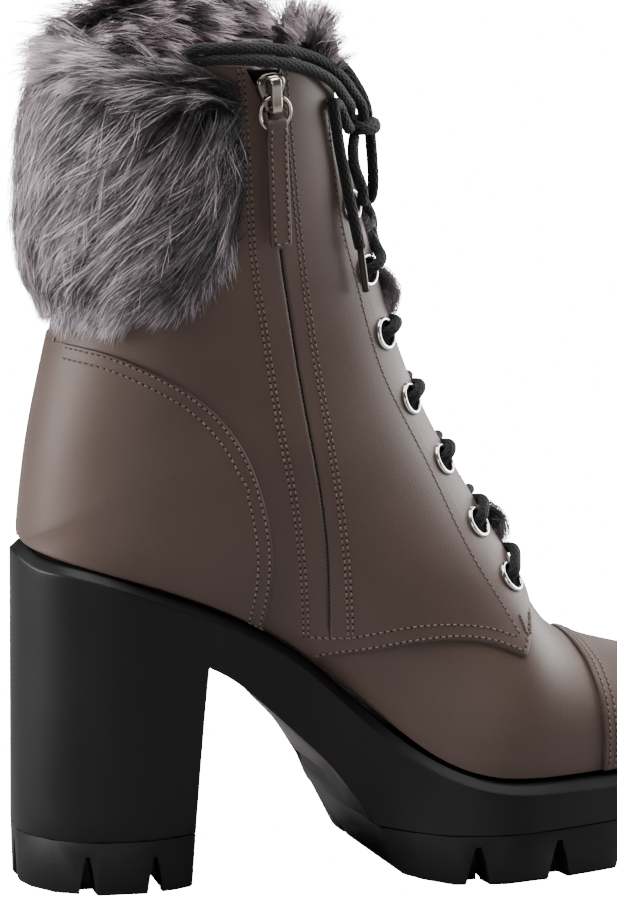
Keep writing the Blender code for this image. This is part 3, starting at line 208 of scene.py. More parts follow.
def easy_curve(knots, values, at):
    """Cubic through the knots that never swings past them: slopes are the harmonic mean of the
    chords either side, and zero where the chords change sign."""
    chords = np.diff(values, axis=0) / np.diff(knots)[:, None]
    product, total = chords[:-1] * chords[1:], chords[:-1] + chords[1:]
    mean = np.where(product > 0, 2 * product / np.where(total == 0, 1, total), 0)
    slopes = np.concatenate([chords[:1], mean, chords[-1:]])
    k = np.clip(np.searchsorted(knots, at, side="right") - 1, 0, len(knots) - 2)
    step = np.diff(knots)[k][..., None]
    u = np.clip((at - knots[k])[..., None] / step, 0, 1)
    return (values[k] * (1 + 2 * u) * (1 - u) ** 2 + slopes[k] * step * u * (1 - u) ** 2
            + values[k + 1] * u * u * (3 - 2 * u) + slopes[k + 1] * step * u * u * (u - 1))


def round_ends(x):
    """Angle that spreads the rounded ends of the feather line evenly."""
    share = (np.asarray(x, float) - FEATHER[0, 0]) / (FEATHER[-1, 0] - FEATHER[0, 0])
    return np.arccos(np.clip(1 - 2 * share, -1, 1))


def feather(x):
    """Inner and outer half width of the feather line at x."""
    return np.maximum(natural_spline(round_ends(FEATHER[:, 0]), FEATHER[:, 1:], round_ends(x)), 0)


def feather_height(x):
    """Height of the feather line at x, from the sections that end on it."""
    low = SECTIONS[SECTIONS[:, 0] <= HEEL_ROW][::-1, 3:5]
    return natural_spline(low[:, 0], low[:, 1], x)[..., 0]


def form_point(v, q):
    """Point of the form: above the widest height a superellipse runs from the top line, and
    below it another one runs down, cut where it meets the feather line."""
    v, q = np.broadcast_arrays(np.asarray(v, float), np.asarray(q, float))
    row = natural_spline(SECTIONS[:, 0], SECTIONS[:, 1:], v)
    top, low = row[..., 0:2], row[..., 2:4]
    wide_in, wide_out, at, low_full, top_full = np.moveaxis(row[..., 4:], -1, 0)
    inner = q < 0
    share = np.abs(q)
    wide = np.maximum(np.where(inner, wide_in, wide_out), 1e-6)
    seat = feather(low[..., 0])
    seat = np.where(inner, seat[..., 0], seat[..., 1]) * (v < HEEL_ROW)
    seat = np.minimum(seat, 0.985 * wide)
    turn = np.minimum(np.pi * share, np.pi / 2)
    up_height = at + (1 - at) * np.abs(np.cos(turn)) ** (2 / top_full)
    up_width = wide * np.sin(turn) ** (2 / top_full)
    cut = np.arcsin(np.clip((seat / wide) ** (low_full / 2), 0, 1))
    kept = (1 - (seat / wide) ** low_full) ** (1 / low_full)
    turn = np.pi / 2 - np.maximum(share - 0.5, 0) * 2 * (np.pi / 2 - cut)
    down_height = at - at / kept * np.abs(np.cos(turn)) ** (2 / low_full)
    down_width = wide * np.sin(turn) ** (2 / low_full)
    height = np.where(share <= 0.5, up_height, down_height)
    width = np.where(share <= 0.5, up_width, down_width)
    place = low + (top - low) * height[..., None]
    return np.stack([place[..., 0], np.where(inner, -width, width), place[..., 1]], -1)


def form_normal(v, q, dv=0.02, dq=0.004):
    """Outward normal of the form, from differences along both parameters.  On the back seam it
    has no sideways part, and on the feather line it lies nearly level."""
    v, q = np.broadcast_arrays(np.asarray(v, float), np.asarray(q, float))
    along = form_point(v + dv, q) - form_point(np.maximum(v - dv, 0), q)
    across = form_point(v, np.minimum(q + dq, 1)) - form_point(v, np.maximum(q - dq, -1))
    normal = np.cross(across, along)
    normal[..., 1] = np.where((np.abs(q) >= 1) & (v >= HEEL_ROW), 0.0, normal[..., 1])
    near_seat = np.clip((np.abs(q) - 0.8) / 0.2, 0, 1) * np.clip(HEEL_ROW + 1 - v, 0, 1)
    normal[..., 2] *= 1 - 0.7 * near_seat
    length = np.linalg.norm(normal, axis=-1, keepdims=True)
    return np.where(length > 1e-9, normal / np.maximum(length, 1e-12), (1.0, 0.0, 0.0))


def form(v, q, out=0.0):
    """The form's face moved `out` millimetres along its normal."""
    return form_point(v, q) + np.asarray(out, float)[..., None] * form_normal(v, q)


def swing(x):
    """Sideways curve of the middle line: straight to the ball, then to the inner side."""
    ahead = np.clip((np.asarray(x, float) - SWING_START) / (FEATHER[-1, 0] - SWING_START), 0, None)
    return -TOE_SWING * ahead ** 1.7


def throat_half(v):
    """Half width of the throat as a share of the girth: a rounded end, then even."""
    rise = np.clip((np.asarray(v, float) - THROAT_ROW) / 0.9, 0, 1)
    return THROAT_HALF * np.sqrt(1 - (1 - rise) ** 2)


def collar_drop(v, q):
    """Rows that the collar's front corners lie lower than a straight edge."""
    front = np.clip(1 - np.abs(q) / 0.36, 0, 1) ** 1.5
    return COLLAR_DROP * np.clip((v - 21.5) / 2.5, 0, 1) * front


def collar_row(q):
    """Row of the collar's edge at a column."""
    return COLLAR_ROW - collar_drop(COLLAR_ROW, q)


def newton_move(place, target):
    """Change of (row, column) that brings the form's side view (x, z) to the target, to first order."""
    here = form_point(place[..., 0], place[..., 1])[..., [0, 2]]
    slopes = np.stack([(form_point(place[..., 0] + dv, place[..., 1] + dq)[..., [0, 2]] - here) / 1e-4
                       for dv, dq in ((1e-4, 0.0), (0.0, 1e-4))], -1)
    return np.linalg.solve(slopes, (target - here)[..., None])[..., 0]


def side_place(x, z):
    """Row and column of the inner side's point at (x, z) in the side view."""
    place = np.array([20.0, -0.4])
    for _ in range(30):
        place = place + np.clip(newton_move(place, (x, z)), -1.0, 1.0) * (1.0, 0.1)
    return place


def girth_at(v, q):
    """Millimetres for one unit of the column, at a row and column."""
    return np.maximum(np.linalg.norm(form_point(v, q + 0.002) - form_point(v, q - 0.002), axis=-1),
                      1e-9) / 0.004


def unit(vectors):
    """Vectors divided by their own lengths."""
    return vectors / np.maximum(np.linalg.norm(vectors, axis=-1, keepdims=True), 1e-12)


def reach_of(points):
    """Length from the first point to each point of a line."""
    steps = np.linalg.norm(np.diff(points, axis=0), axis=1)
    return np.concatenate([[0.0], np.cumsum(steps)])


def to_frame(points):
    """Millimetres from the back of the heel into the frame's metres, swung with the middle line."""
    moved = np.array(points, float)
    moved[..., 1] += swing(moved[..., 0])
    moved[..., 0] -= ORIGIN_X
    return moved * MM


# ---------------------------------------------------------------- meshes
def make_object(name, points, faces, material, body=BODY, slot=None, uv=None, values=None,
                replaces=(), sharp=None, closed=True, finishes=None):
    """Object from millimetre points and same-sized faces, riding on a body.  uv is a pair for
    each corner of each face; values are named numbers or vectors for each point.  A closed
    surface whose volume comes out negative is turned the right way out."""
    faces = np.ascontiguousarray(faces, dtype=np.int32)
    if closed:
        a, b, c = (points[faces[:, k]] for k in (0, 1, 2))
        volume = np.einsum("ij,ij->", a, np.cross(b, c))
        if faces.shape[1] == 4:
            volume += np.einsum("ij,ij->", a, np.cross(c, points[faces[:, 3]]))
        if volume < 0:
            faces = np.ascontiguousarray(faces[:, ::-1])
            uv = None if uv is None else uv.reshape(len(faces), -1, 2)[:, ::-1]
    mesh = bpy.data.meshes.new(name)
    mesh.vertices.add(len(points))
    mesh.vertices.foreach_set("co", to_frame(points).astype(np.float32).ravel())
    mesh.loops.add(faces.size)
    mesh.loops.foreach_set("vertex_index", faces.ravel())
    mesh.polygons.add(len(faces))
    mesh.polygons.foreach_set("loop_start", np.arange(0, faces.size, faces.shape[1], dtype=np.int32))
    mesh.update(calc_edges=True)
    if uv is not None:
        layer = mesh.uv_layers.new(name="UVMap")
        layer.data.foreach_set("uv", np.asarray(uv, np.float32).ravel())
    for key, value in (values or {}).items():
        value = np.asarray(value, np.float32)
        kind = "FLOAT" if value.ndim == 1 else "FLOAT_VECTOR"
        mesh.attributes.new(key, kind, "POINT").data.foreach_set(
            "value" if value.ndim == 1 else "vector", value.ravel())
    mesh.shade_smooth()
    if sharp is not None:
        mesh.set_sharp_from_angle(angle=math.radians(sharp))
    mesh.materials.append(material)
    if finishes is not None:
        second, where = finishes
        mesh.materials.append(second)
        mesh.polygons.foreach_set("material_index", where.astype(np.int32))
    made = bpy.data.objects.new(name, mesh)
    bpy.context.scene.collection.objects.link(made)
    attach(made, body)
    if replaces:
        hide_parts(*replaces)
    return made


def grid_triangles(rows, columns, start=0):
    """Triangles of a grid whose points are numbered row by row from `start`."""
    i, j = np.meshgrid(np.arange(rows - 1), np.arange(columns - 1), indexing="ij")
    a = (start + i * columns + j).ravel()
    b, c, d = a + 1, a + columns + 1, a + columns
    return np.concatenate([np.stack([a, b, c], 1), np.stack([a, c, d], 1)])


def ring_grid(rings, close_rows=False):
    """Points and faces of rings that close round, and from the last ring to the first if asked."""
    rings = np.asarray(rings, float)
    rows, size = rings.shape[:2]
    i, j = np.meshgrid(np.arange(rows if close_rows else rows - 1), np.arange(size), indexing="ij")
    n, k = (i + 1) % rows, (j + 1) % size
    faces = np.stack([i * size + j, i * size + k, n * size + k, n * size + j], -1)
    return rings.reshape(-1, 3), faces.reshape(-1, 4)


def closed_ends(rings, left):
    """The rings with each end ring drawn in to its middle, but for a small share that is left."""
    first, last = (end * left + end.mean(1, keepdims=True) * (1 - left)
                   for end in (rings[:1], rings[-1:]))
    return np.concatenate([first, rings, last])


def dish(sides, rims):
    """Dish round z, from rims of (reach along x, reach along y, height)."""
    turns = np.arange(sides) * 2 * np.pi / sides
    ring = np.stack([np.cos(turns), np.sin(turns), 0 * turns], 1)
    return ring_grid([ring * (wide, deep, 0) + (0, 0, height) for wide, deep, height in rims])


def wall(name, face, back, triangles, material, values=None, back_material=None, **more):
    """Closed wall between two sheets with the same triangles: the sheets, then a rim round them."""
    _, keep, merged = np.unique(np.round(face, 3), axis=0, return_index=True, return_inverse=True)
    face, back = face[keep], back[keep]
    tris = merged.ravel()[triangles]
    tris = tris[(tris[:, 0] != tris[:, 1]) & (tris[:, 1] != tris[:, 2]) & (tris[:, 0] != tris[:, 2])]
    edges = np.concatenate([tris[:, [0, 1]], tris[:, [1, 2]], tris[:, [2, 0]]])
    _, first, count = np.unique(np.sort(edges, 1), axis=0, return_index=True, return_counts=True)
    rim = edges[first[count == 1]]
    shift = len(face)
    sides = np.concatenate([np.stack([rim[:, 1], rim[:, 0], rim[:, 0] + shift], 1),
                            np.stack([rim[:, 1], rim[:, 0] + shift, rim[:, 1] + shift], 1)])
    faces = np.concatenate([tris, tris[:, ::-1] + shift, sides])
    held = {key: np.concatenate([value[keep], value[keep] * 0 + back_value])
            for key, (value, back_value) in (values or {}).items()}
    if back_material is not None:
        more["finishes"] = back_material, np.arange(len(faces)) >= len(tris)
    return make_object(name, np.concatenate([face, back]), faces, material, values=held, **more)


def tube_frames(path):
    """Unit vectors ahead, aside and up along a path: aside is square to the axis of space that
    the path keeps furthest from."""
    ahead = unit(np.gradient(path, axis=0))
    axes = np.concatenate([np.eye(3), unit(np.array([(1, 1, 0), (1, -1, 0), (0, 1, 1), (0, 1, -1),
                                                     (1, 0, 1), (1, 0, -1), (1, 1, 1.0)]))])
    best = axes[np.argmin(np.abs(ahead @ axes.T).max(axis=0))]
    aside = unit(np.cross(ahead, best))
    return ahead, aside, np.cross(ahead, aside)


def sweep(path, radius, sides=16):
    """Tube: every ring is a circle of the given radius square to the path, and its ends close in
    small domes.  Returns points, faces and the corners' (turns, millimetres) pairs."""
    path = np.asarray(path, float)
    radius = np.broadcast_to(np.asarray(radius, float), (len(path),)).copy()
    ahead, aside, up = tube_frames(path)
    cap = radius[[0, -1]] * 0.5
    path = np.concatenate([[path[0] - ahead[0] * cap[0], path[0] - ahead[0] * cap[0] * 0.7], path,
                           [path[-1] + ahead[-1] * cap[1] * 0.7, path[-1] + ahead[-1] * cap[1]]])
    radius = np.concatenate([[1e-3, radius[0] * 0.7], radius, [radius[-1] * 0.7, 1e-3]])
    aside, up = (held[[0, 0, *range(len(held)), -1, -1], None] for held in (aside, up))
    turns = (np.arange(sides) * 2 * np.pi / sides)[None, :, None]
    rings = path[:, None] + radius[:, None, None] * (np.cos(turns) * aside + np.sin(turns) * up)
    points, faces = ring_grid(rings)
    i, j = np.divmod(np.arange(len(faces))[:, None], sides)
    uv = np.stack([(j + [0, 1, 1, 0]) / sides, reach_of(path)[i + [0, 0, 1, 1]]], -1)
    return points, faces, uv.reshape(-1, 2)


def tube_object(name, path, radius, material, **more):
    """Object made of one tube, with its map for the braid."""
    points, faces, uv = sweep(path, radius)
    return make_object(name, points, faces, material, uv=uv, **more)


def smooth_path(points, spacing):
    """Points about every `spacing` millimetres on a natural spline through the route."""
    points = np.asarray(points, float)
    reach = reach_of(points)
    count = max(int(round(reach[-1] / spacing)), 3) + 1
    return natural_spline(reach, points, np.linspace(0, reach[-1], count))


def scatter_copies(base, faces, centres, axes):
    """Copies of a small shape: its x, y and z run along each copy's own three axes."""
    points = centres[:, None] + np.einsum("mk,nkc->nmc", base, axes)
    shift = np.arange(len(centres))[:, None, None] * len(base)
    return points.reshape(-1, 3), (faces[None] + shift).reshape(-1, faces.shape[1])


# ---------------------------------------------------------------- lines and leather panels
def with_reach(line):
    """A dense (row, column) line and the length in space up to each of its points."""
    return line, reach_of(form_point(line[:, 0], line[:, 1]))


def side_line(knots, count=SIDE_POINTS):
    """Dense (row, column) line under a natural spline through side-view points: each starts at
    the nearest point of a coarse grid of the form and is moved by Newton's steps."""
    knots = np.array(knots, float)
    target = natural_spline(reach_of(knots), knots, np.linspace(0, reach_of(knots)[-1], count))
    v, q = np.meshgrid(np.linspace(0.4, 24.0, 119), np.linspace(0.02, 0.97, 60), indexing="ij")
    grid = form_point(v, q)[..., [0, 2]].reshape(-1, 2)
    near = np.argmin(((grid[None] - target[:, None]) ** 2).sum(-1), axis=1)
    place = np.stack([v.ravel()[near], q.ravel()[near]], 1)
    for _ in range(14):
        place = place + np.clip(newton_move(place, target), -0.5, 0.5) * (1.0, 0.2)
        place[:, 1] = np.clip(place[:, 1], 0.0, 1.0)
    return place


def shifted(line, aside):
    """Line moved sideways on the form by some millimetres, to its left as seen from outside on
    the outer half: its square direction in space is turned into steps of row and column."""
    v, q = line.T
    ahead = unit(np.gradient(form_point(v, q), axis=0))
    out = form_normal(v, q)
    square = np.cross(out, ahead)
    slopes = np.stack([(form_point(v + 1e-3, q) - form_point(v, q)) / 1e-3,
                       (form_point(v, q - 1e-3) - form_point(v, q)) / -1e-3], -1)
    move = np.linalg.pinv(slopes) @ (square * aside)[..., None]
    moved = line + move[..., 0]
    moved[:, 1] = np.clip(moved[:, 1], 0.0, 1.0)
    return moved


def counter_line(count=220):
    """(row, column) of the counter's edge from its top at the back seam to the feather line: in
    each row the column where the edge's outline is crossed is found by halving."""
    knots = np.array(COUNTER_EDGE)
    outline = natural_spline(reach_of(knots), knots, np.linspace(0, reach_of(knots)[-1], 400))[::-1]
    share = 0.5 - 0.5 * np.cos(np.linspace(0, np.pi, count))
    v = COUNTER_TOP + (COUNTER_FOOT - COUNTER_TOP) * share
    low, high = np.full(count, 0.3), np.ones(count)
    for _ in range(34):
        q = (low + high) / 2
        point = form_point(v, q)
        inside = point[:, 0] < np.interp(point[:, 2], outline[:, 1], outline[:, 0])
        low, high = np.where(inside, low, q), np.where(inside, q, high)
    q[[0, -1]] = 1.0
    return np.stack([v, q], 1)


def read_line(line, shares):
    """(row, column) at shares of a line's length."""
    dense, reach = line
    at = np.asarray(shares) * reach[-1]
    return np.stack([np.interp(at, reach, dense[:, 0]), np.interp(at, reach, dense[:, 1])], -1)


def even_shares(length, pitch, low=True, high=True, stops=()):
    """Shares of a length: even steps, closer where an edge is rounded, and passing the stops."""
    inset = np.array([0.15, 0.4, 0.8, 1.6]) / length
    marks = [0.0, *stops, 1.0]
    shares = np.concatenate([np.linspace(a, b, max(int((b - a) * length / pitch), 1) + 1)
                             for a, b in zip(marks, marks[1:])])
    if low:
        shares = np.concatenate([inset, shares[(shares > inset[-1] * 1.4) | (shares == 0)]])
    if high:
        shares = np.concatenate([1 - inset, shares[(shares < 1 - inset[-1] * 1.4) | (shares == 1)]])
    return np.unique(np.round(shares, 6))


def patch(low, high, start, end, across, up):
    """Grid of (row, column): the blend between the low and high lines plus the blend between
    the start and end lines, less the blend of the four corners."""
    s, t = across[None, :, None], up[:, None, None]
    bottom, top = read_line(low, across)[None], read_line(high, across)[None]
    left, right = read_line(start, up)[:, None], read_line(end, up)[:, None]
    corners = ((1 - s) * (1 - t) * bottom[:, :1] + s * (1 - t) * bottom[:, -1:]
               + (1 - s) * t * top[:, :1] + s * t * top[:, -1:])
    grid = (1 - t) * bottom + t * top + (1 - s) * left + s * right - corners
    return grid[..., 0], grid[..., 1]


def edge_distance(v, q, low=1.0, high=1.0, start=1.0, end=1.0):
    """Millimetres from each grid point to the nearest free edge.  low, high, start and end say
    how free each side is, from 0 to 1, for the whole side or for each point along it."""
    points = form_point(v, q)
    down = np.concatenate([np.zeros((1, v.shape[1])),
                           np.cumsum(np.linalg.norm(np.diff(points, axis=0), axis=-1), axis=0)])
    side = np.concatenate([np.zeros((v.shape[0], 1)),
                           np.cumsum(np.linalg.norm(np.diff(points, axis=1), axis=-1), axis=1)], 1)
    parts = []
    for distance, free in ((down, low), (down[-1:] - down, high)):
        parts.append((distance + 0.02) / np.maximum(np.asarray(free, float), 1e-3))
    for distance, free in ((side, start), (side[:, -1:] - side, end)):
        free = np.asarray(free, float)
        parts.append((distance + 0.02) / np.maximum(free[:, None] if free.ndim else free, 1e-3))
    return np.minimum.reduce(parts) - 0.02


def rounded(distance, radius):
    """How far a rounded edge has dropped at this distance from it: a quarter circle."""
    near = radius - np.clip(distance, 0, radius)
    return radius - np.sqrt(np.maximum(radius ** 2 - near ** 2, 0))


def leather_panel(name, sheets, outer, inner, finish="leather", radius=0.8, slot="leather", **more):
    """Closed leather panel from sheets of (rows, columns, edge distance, sign of the side): its
    face lies `outer` over the form, dropping in a quarter circle at the free edges."""
    face, back, edge, tris, start = [], [], [], [], 0
    for v, q, distance, sign in sheets:
        drop = rounded(distance, radius) * min(0.9 * (outer - inner) / radius, 1.0)
        face.append(form(v, sign * q, outer - drop).reshape(-1, 3))
        back.append(form(v, sign * q, inner).reshape(-1, 3))
        edge.append(distance.ravel())
        grid = grid_triangles(*v.shape, start)
        tris.append(grid if sign < 0 else grid[:, ::-1])
        start += v.size
    return wall(name, np.concatenate(face), np.concatenate(back), np.concatenate(tris), FINISH[finish],
                values={"edge": (np.concatenate(edge), UNWORN)}, slot=slot, **more)


def both_sides(v, q, distance):
    """One sheet for each half of the boot."""
    return [(v, q, distance, -1), (v, q, distance, 1)]


# ---------------------------------------------------------------- shader groups and finishes
def add(tree, kind, links=None, **settings):
    """Node with its settings, and its inputs linked or set by name or number."""
    made = tree.nodes.new(kind)
    for key, value in settings.items():
        setattr(made, key, value)
    for key, value in (links or {}).items():
        socket = made.inputs[key]
        if isinstance(value, bpy.types.NodeSocket):
            tree.links.new(value, socket)
        else:
            socket.default_value = value
    return made


def group(name, inputs, outputs):
    """Empty node group with float, vector or colour sockets, its input node and output node."""
    tree = bpy.data.node_groups.new(name, "ShaderNodeTree")
    kinds = {"f": "NodeSocketFloat", "v": "NodeSocketVector", "c": "NodeSocketColor"}
    for label, kind, default in inputs:
        socket = tree.interface.new_socket(label, in_out="INPUT", socket_type=kinds[kind])
        if default is not None:
            socket.default_value = default
    for label, kind in outputs:
        tree.interface.new_socket(label, in_out="OUTPUT", socket_type=kinds[kind])
    return tree, tree.nodes.new("NodeGroupInput").outputs, tree.nodes.new("NodeGroupOutput").inputs


def ramp(tree, value, low, high, to_low=0.0, to_high=1.0):
    """Value mapped from one range to another, and held at its ends."""
    return add(tree, "ShaderNodeMapRange", {0: value, 1: low, 2: high, 3: to_low, 4: to_high}).outputs[0]


def maths(tree, operation, a, b=0.0, c=0.0):
    """Result of a maths node."""
    return add(tree, "ShaderNodeMath", {0: a, 1: b, 2: c}, operation=operation).outputs[0]


def mix_colour(tree, share, a, b, blend="MIX"):
    """Colour between two colours, or one blended over the other."""
    node = add(tree, "ShaderNodeMix", {0: share, 6: a, 7: b}, data_type="RGBA", blend_type=blend)
    return node.outputs[2]


def pebble_group():
    """Leather grain: rounded cells with fine pores between, and slow patches of tone."""
    tree, given, out = group("pebble_grain", (("Vector", "v", None), ("Cells", "f", 1500.0),
                                              ("Pores", "f", 0.4)),
                             (("Height", "f"), ("Tone", "f")))
    cells = add(tree, "ShaderNodeTexVoronoi", {"Vector": given[0], "Scale": given[1]},
                feature="SMOOTH_F1", voronoi_dimensions="3D")
    fine = noise(tree, given[0], maths(tree, "MULTIPLY", given[1], 1.7), 3.0, 0.6)
    crown = maths(tree, "SUBTRACT", 1.0, cells.outputs["Distance"])
    tree.links.new(maths(tree, "MULTIPLY_ADD", fine, given[2], crown), out[0])
    tree.links.new(noise(tree, given[0], 28.0, 4.0), out[1])
    return tree


def wear_group():
    """Darkening towards a cut edge: one at the edge and nothing past the reach, broken by noise."""
    tree, given, out = group("edge_wear", (("Distance", "f", UNWORN), ("Reach", "f", 1.2),
                                           ("Vector", "v", None)), (("Mask", "f"),))
    near = maths(tree, "SUBTRACT", 1.0, maths(tree, "DIVIDE", given[0], given[1]))
    rough = ramp(tree, noise(tree, given[2], 500.0), 0.3, 0.7, 0.6, 1.0)
    mask = add(tree, "ShaderNodeMath", {0: near, 1: rough}, operation="MULTIPLY", use_clamp=True)
    tree.links.new(mask.outputs[0], out[0])
    return tree


def braid_group():
    """Round braid on a cord's own map (turns, millimetres): two sets of strands cross over."""
    tree, given, out = group("braid", (("Vector", "v", None), ("Pitch", "f", 3.2),
                                       ("Strands", "f", 8.0)), (("Height", "f"), ("Tone", "f")))
    parts = add(tree, "ShaderNodeSeparateXYZ", {0: given[0]}).outputs
    turn = maths(tree, "MULTIPLY", parts[0], given[2])
    run = maths(tree, "DIVIDE", parts[1], given[1])
    waves = []
    for sign in ("ADD", "SUBTRACT"):
        phase = maths(tree, "MULTIPLY", maths(tree, sign, turn, run), 2 * math.pi)
        waves.append(maths(tree, "MULTIPLY_ADD", maths(tree, "SINE", phase), 0.5, 0.5))
    tree.links.new(maths(tree, "MAXIMUM", *waves), out[0])
    tree.links.new(maths(tree, "MULTIPLY", *waves), out[1])
    return tree


def new_material(name, roughness=0.5, metallic=0.0, **sockets):
    """New material, its node tree and its shader with some inputs set."""
    made = bpy.data.materials.new(name)
    made.use_nodes = True
    tree = made.node_tree
    shader = tree.nodes["Principled BSDF"]
    shader.inputs["Roughness"].default_value = roughness
    shader.inputs["Metallic"].default_value = metallic
    for key, value in sockets.items():
        shader.inputs[key.replace("_", " ")].default_value = value
    return made, tree, shader


def object_place(tree):
    """Place in the object's own space."""
    return add(tree, "ShaderNodeTexCoord").outputs["Object"]


def held_value(tree, name):
    """Named number held by the mesh's points."""
    return add(tree, "ShaderNodeAttribute", attribute_name=name).outputs["Fac"]


def times(colour, factor=1.0):
    """Four-part colour made darker or lighter."""
    return (*(c * factor for c in colour), 1)


def noise(tree, place, scale, detail=2.0, roughness=0.5):
    """Soft noise between 0 and 1."""
    return add(tree, "ShaderNodeTexNoise", {"Vector": place, "Scale": scale, "Detail": detail,
                                            "Roughness": roughness}).outputs[0]


def grain_of(tree, place, cells):
    """Height and tone of the shared pebble grain."""
    made = add(tree, "ShaderNodeGroup", node_tree=GROUPS["pebble"])
    tree.links.new(place, made.inputs[0])
    made.inputs[1].default_value = cells
    return made.outputs


def dress(tree, shader, tint, roughness=None, height=None, strength=0.1, distance=0.0001):
    """Link a tint, a roughness and a bump height into a material's shader."""
    tree.links.new(tint, shader.inputs["Base Color"])
    if roughness is not None:
        tree.links.new(roughness, shader.inputs["Roughness"])
    if height is not None:
        lift = add(tree, "ShaderNodeBump", {"Strength": strength, "Distance": distance,
                                            "Height": height})
        tree.links.new(lift.outputs[0], shader.inputs["Normal"])


def leather_material(name, colour, cells, bump=0.25, roughness=0.5, edge=True):
    """Fine pebbled leather: base colour varied by slow patches, darker at cut edges."""
    made, tree, shader = new_material(name, roughness, Sheen_Weight=0.15, Sheen_Roughness=0.4)
    place = object_place(tree)
    height, tone = grain_of(tree, place, cells)
    tint = mix_colour(tree, ramp(tree, tone, 0.3, 0.7), times(colour, 0.86), times(colour, 1.12))
    pores = ramp(tree, height, 0.5, 1.1, 0.88, 1.0)
    grey = add(tree, "ShaderNodeCombineColor", {0: pores, 1: pores, 2: pores}).outputs[0]
    tint = mix_colour(tree, 1.0, tint, grey, "MULTIPLY")
    if edge:
        wear = add(tree, "ShaderNodeGroup", node_tree=GROUPS["wear"])
        tree.links.new(held_value(tree, "edge"), wear.inputs[0])
        tree.links.new(place, wear.inputs[2])
        tint = mix_colour(tree, wear.outputs[0], tint, times(colour, 0.4))
    dull = ramp(tree, tone, 0.25, 0.75, roughness - 0.05, roughness + 0.07)
    dress(tree, shader, tint, dull, height, bump, 0.0002)
    return made


def rubber_material(name, colour, roughness, cells=900.0, bump=0.15):
    """Moulded rubber: faint patches in its gloss and a very fine tooth."""
    made, tree, shader = new_material(name, roughness, Specular_IOR_Level=0.28)
    height, tone = grain_of(tree, object_place(tree), cells)
    dull = ramp(tree, tone, 0.3, 0.7, roughness - 0.06, roughness + 0.08)
    tint = mix_colour(tree, ramp(tree, tone, 0.3, 0.7), times(colour), times(colour, 1.5))
    dress(tree, shader, tint, dull, height, bump)
    return made


def metal_material(name, colour, roughness):
    """Plated metal: polished, with faint smudges in its gloss."""
    made, tree, shader = new_material(name, roughness, 1.0)
    smudge = noise(tree, object_place(tree), 260.0, 4.0)
    dull = ramp(tree, smudge, 0.3, 0.7, roughness * 0.7, roughness * 1.6)
    dress(tree, shader, mix_colour(tree, smudge, times(colour), times(colour, 0.9)), dull, smudge, 0.05)
    return made


def lace_material(name, colour):
    """Braided cord: strands catch the light, and painted shade darkens the gaps between them."""
    made, tree, shader = new_material(name, 0.75, Sheen_Weight=0.06, Sheen_Roughness=0.5,
                                      Specular_IOR_Level=0.3)
    weave = add(tree, "ShaderNodeGroup", node_tree=GROUPS["braid"])
    tree.links.new(add(tree, "ShaderNodeUVMap", uv_map="UVMap").outputs[0], weave.inputs[0])
    fuzz = noise(tree, object_place(tree), 3500.0)
    height = maths(tree, "MULTIPLY_ADD", fuzz, 0.4, weave.outputs[0])
    dress(tree, shader, mix_colour(tree, weave.outputs[0], times(colour, 0.35), times(colour)),
          height=height, strength=0.8, distance=0.0004)
    return made


def thread_material(name, colour):
    """Sewing thread: pale and dark flecks, with a fine bump from the same noise."""
    made, tree, shader = new_material(name, 0.6)
    fleck = noise(tree, object_place(tree), 2600.0)
    tint = mix_colour(tree, ramp(tree, fleck, 0.35, 0.65), times(colour, 0.6), times(colour))
    dress(tree, shader, tint, height=fleck, strength=0.4)
    return made


def hair_material(name, root, middle, tip):
    """Fur hair: dark at the root, paler to the tip, each hair and each lock with its own tint, which also
    holds painted light and shade.
    """
    made, tree, shader = new_material(name, 0.42, Sheen_Weight=0.3, Sheen_Roughness=0.4)
    along = held_value(tree, "along")
    lower = mix_colour(tree, ramp(tree, along, 0.05, 0.5), times(root), times(middle))
    shade = mix_colour(tree, ramp(tree, along, 0.45, 0.95), lower, times(tip))
    # the tint scales the colour: each hair's own tone together with painted light and shade
    darker = mix_colour(tree, held_value(tree, "tint"), (0.08, 0.075, 0.08, 1), (2.3, 2.2, 2.25, 1))
    dress(tree, shader, mix_colour(tree, 1.0, shade, darker, "MULTIPLY"))
    return made


def undercoat_material(name, colour):
    """Dense underfur: streaks that run down the cuff, almost black between the locks."""
    made, tree, shader = new_material(name, 0.95, Specular_IOR_Level=0.1)
    place = add(tree, "ShaderNodeMapping", {"Vector": object_place(tree), "Scale": (1.0, 1.0, 0.18)})
    streak = noise(tree, place.outputs[0], 900.0, 5.0, 0.7)
    tint = mix_colour(tree, ramp(tree, streak, 0.35, 0.7), times(colour, 0.3), times(colour))
    dress(tree, shader, tint, height=streak, strength=0.9, distance=0.0012)
    return made


GROUPS, FINISH = {}, {}


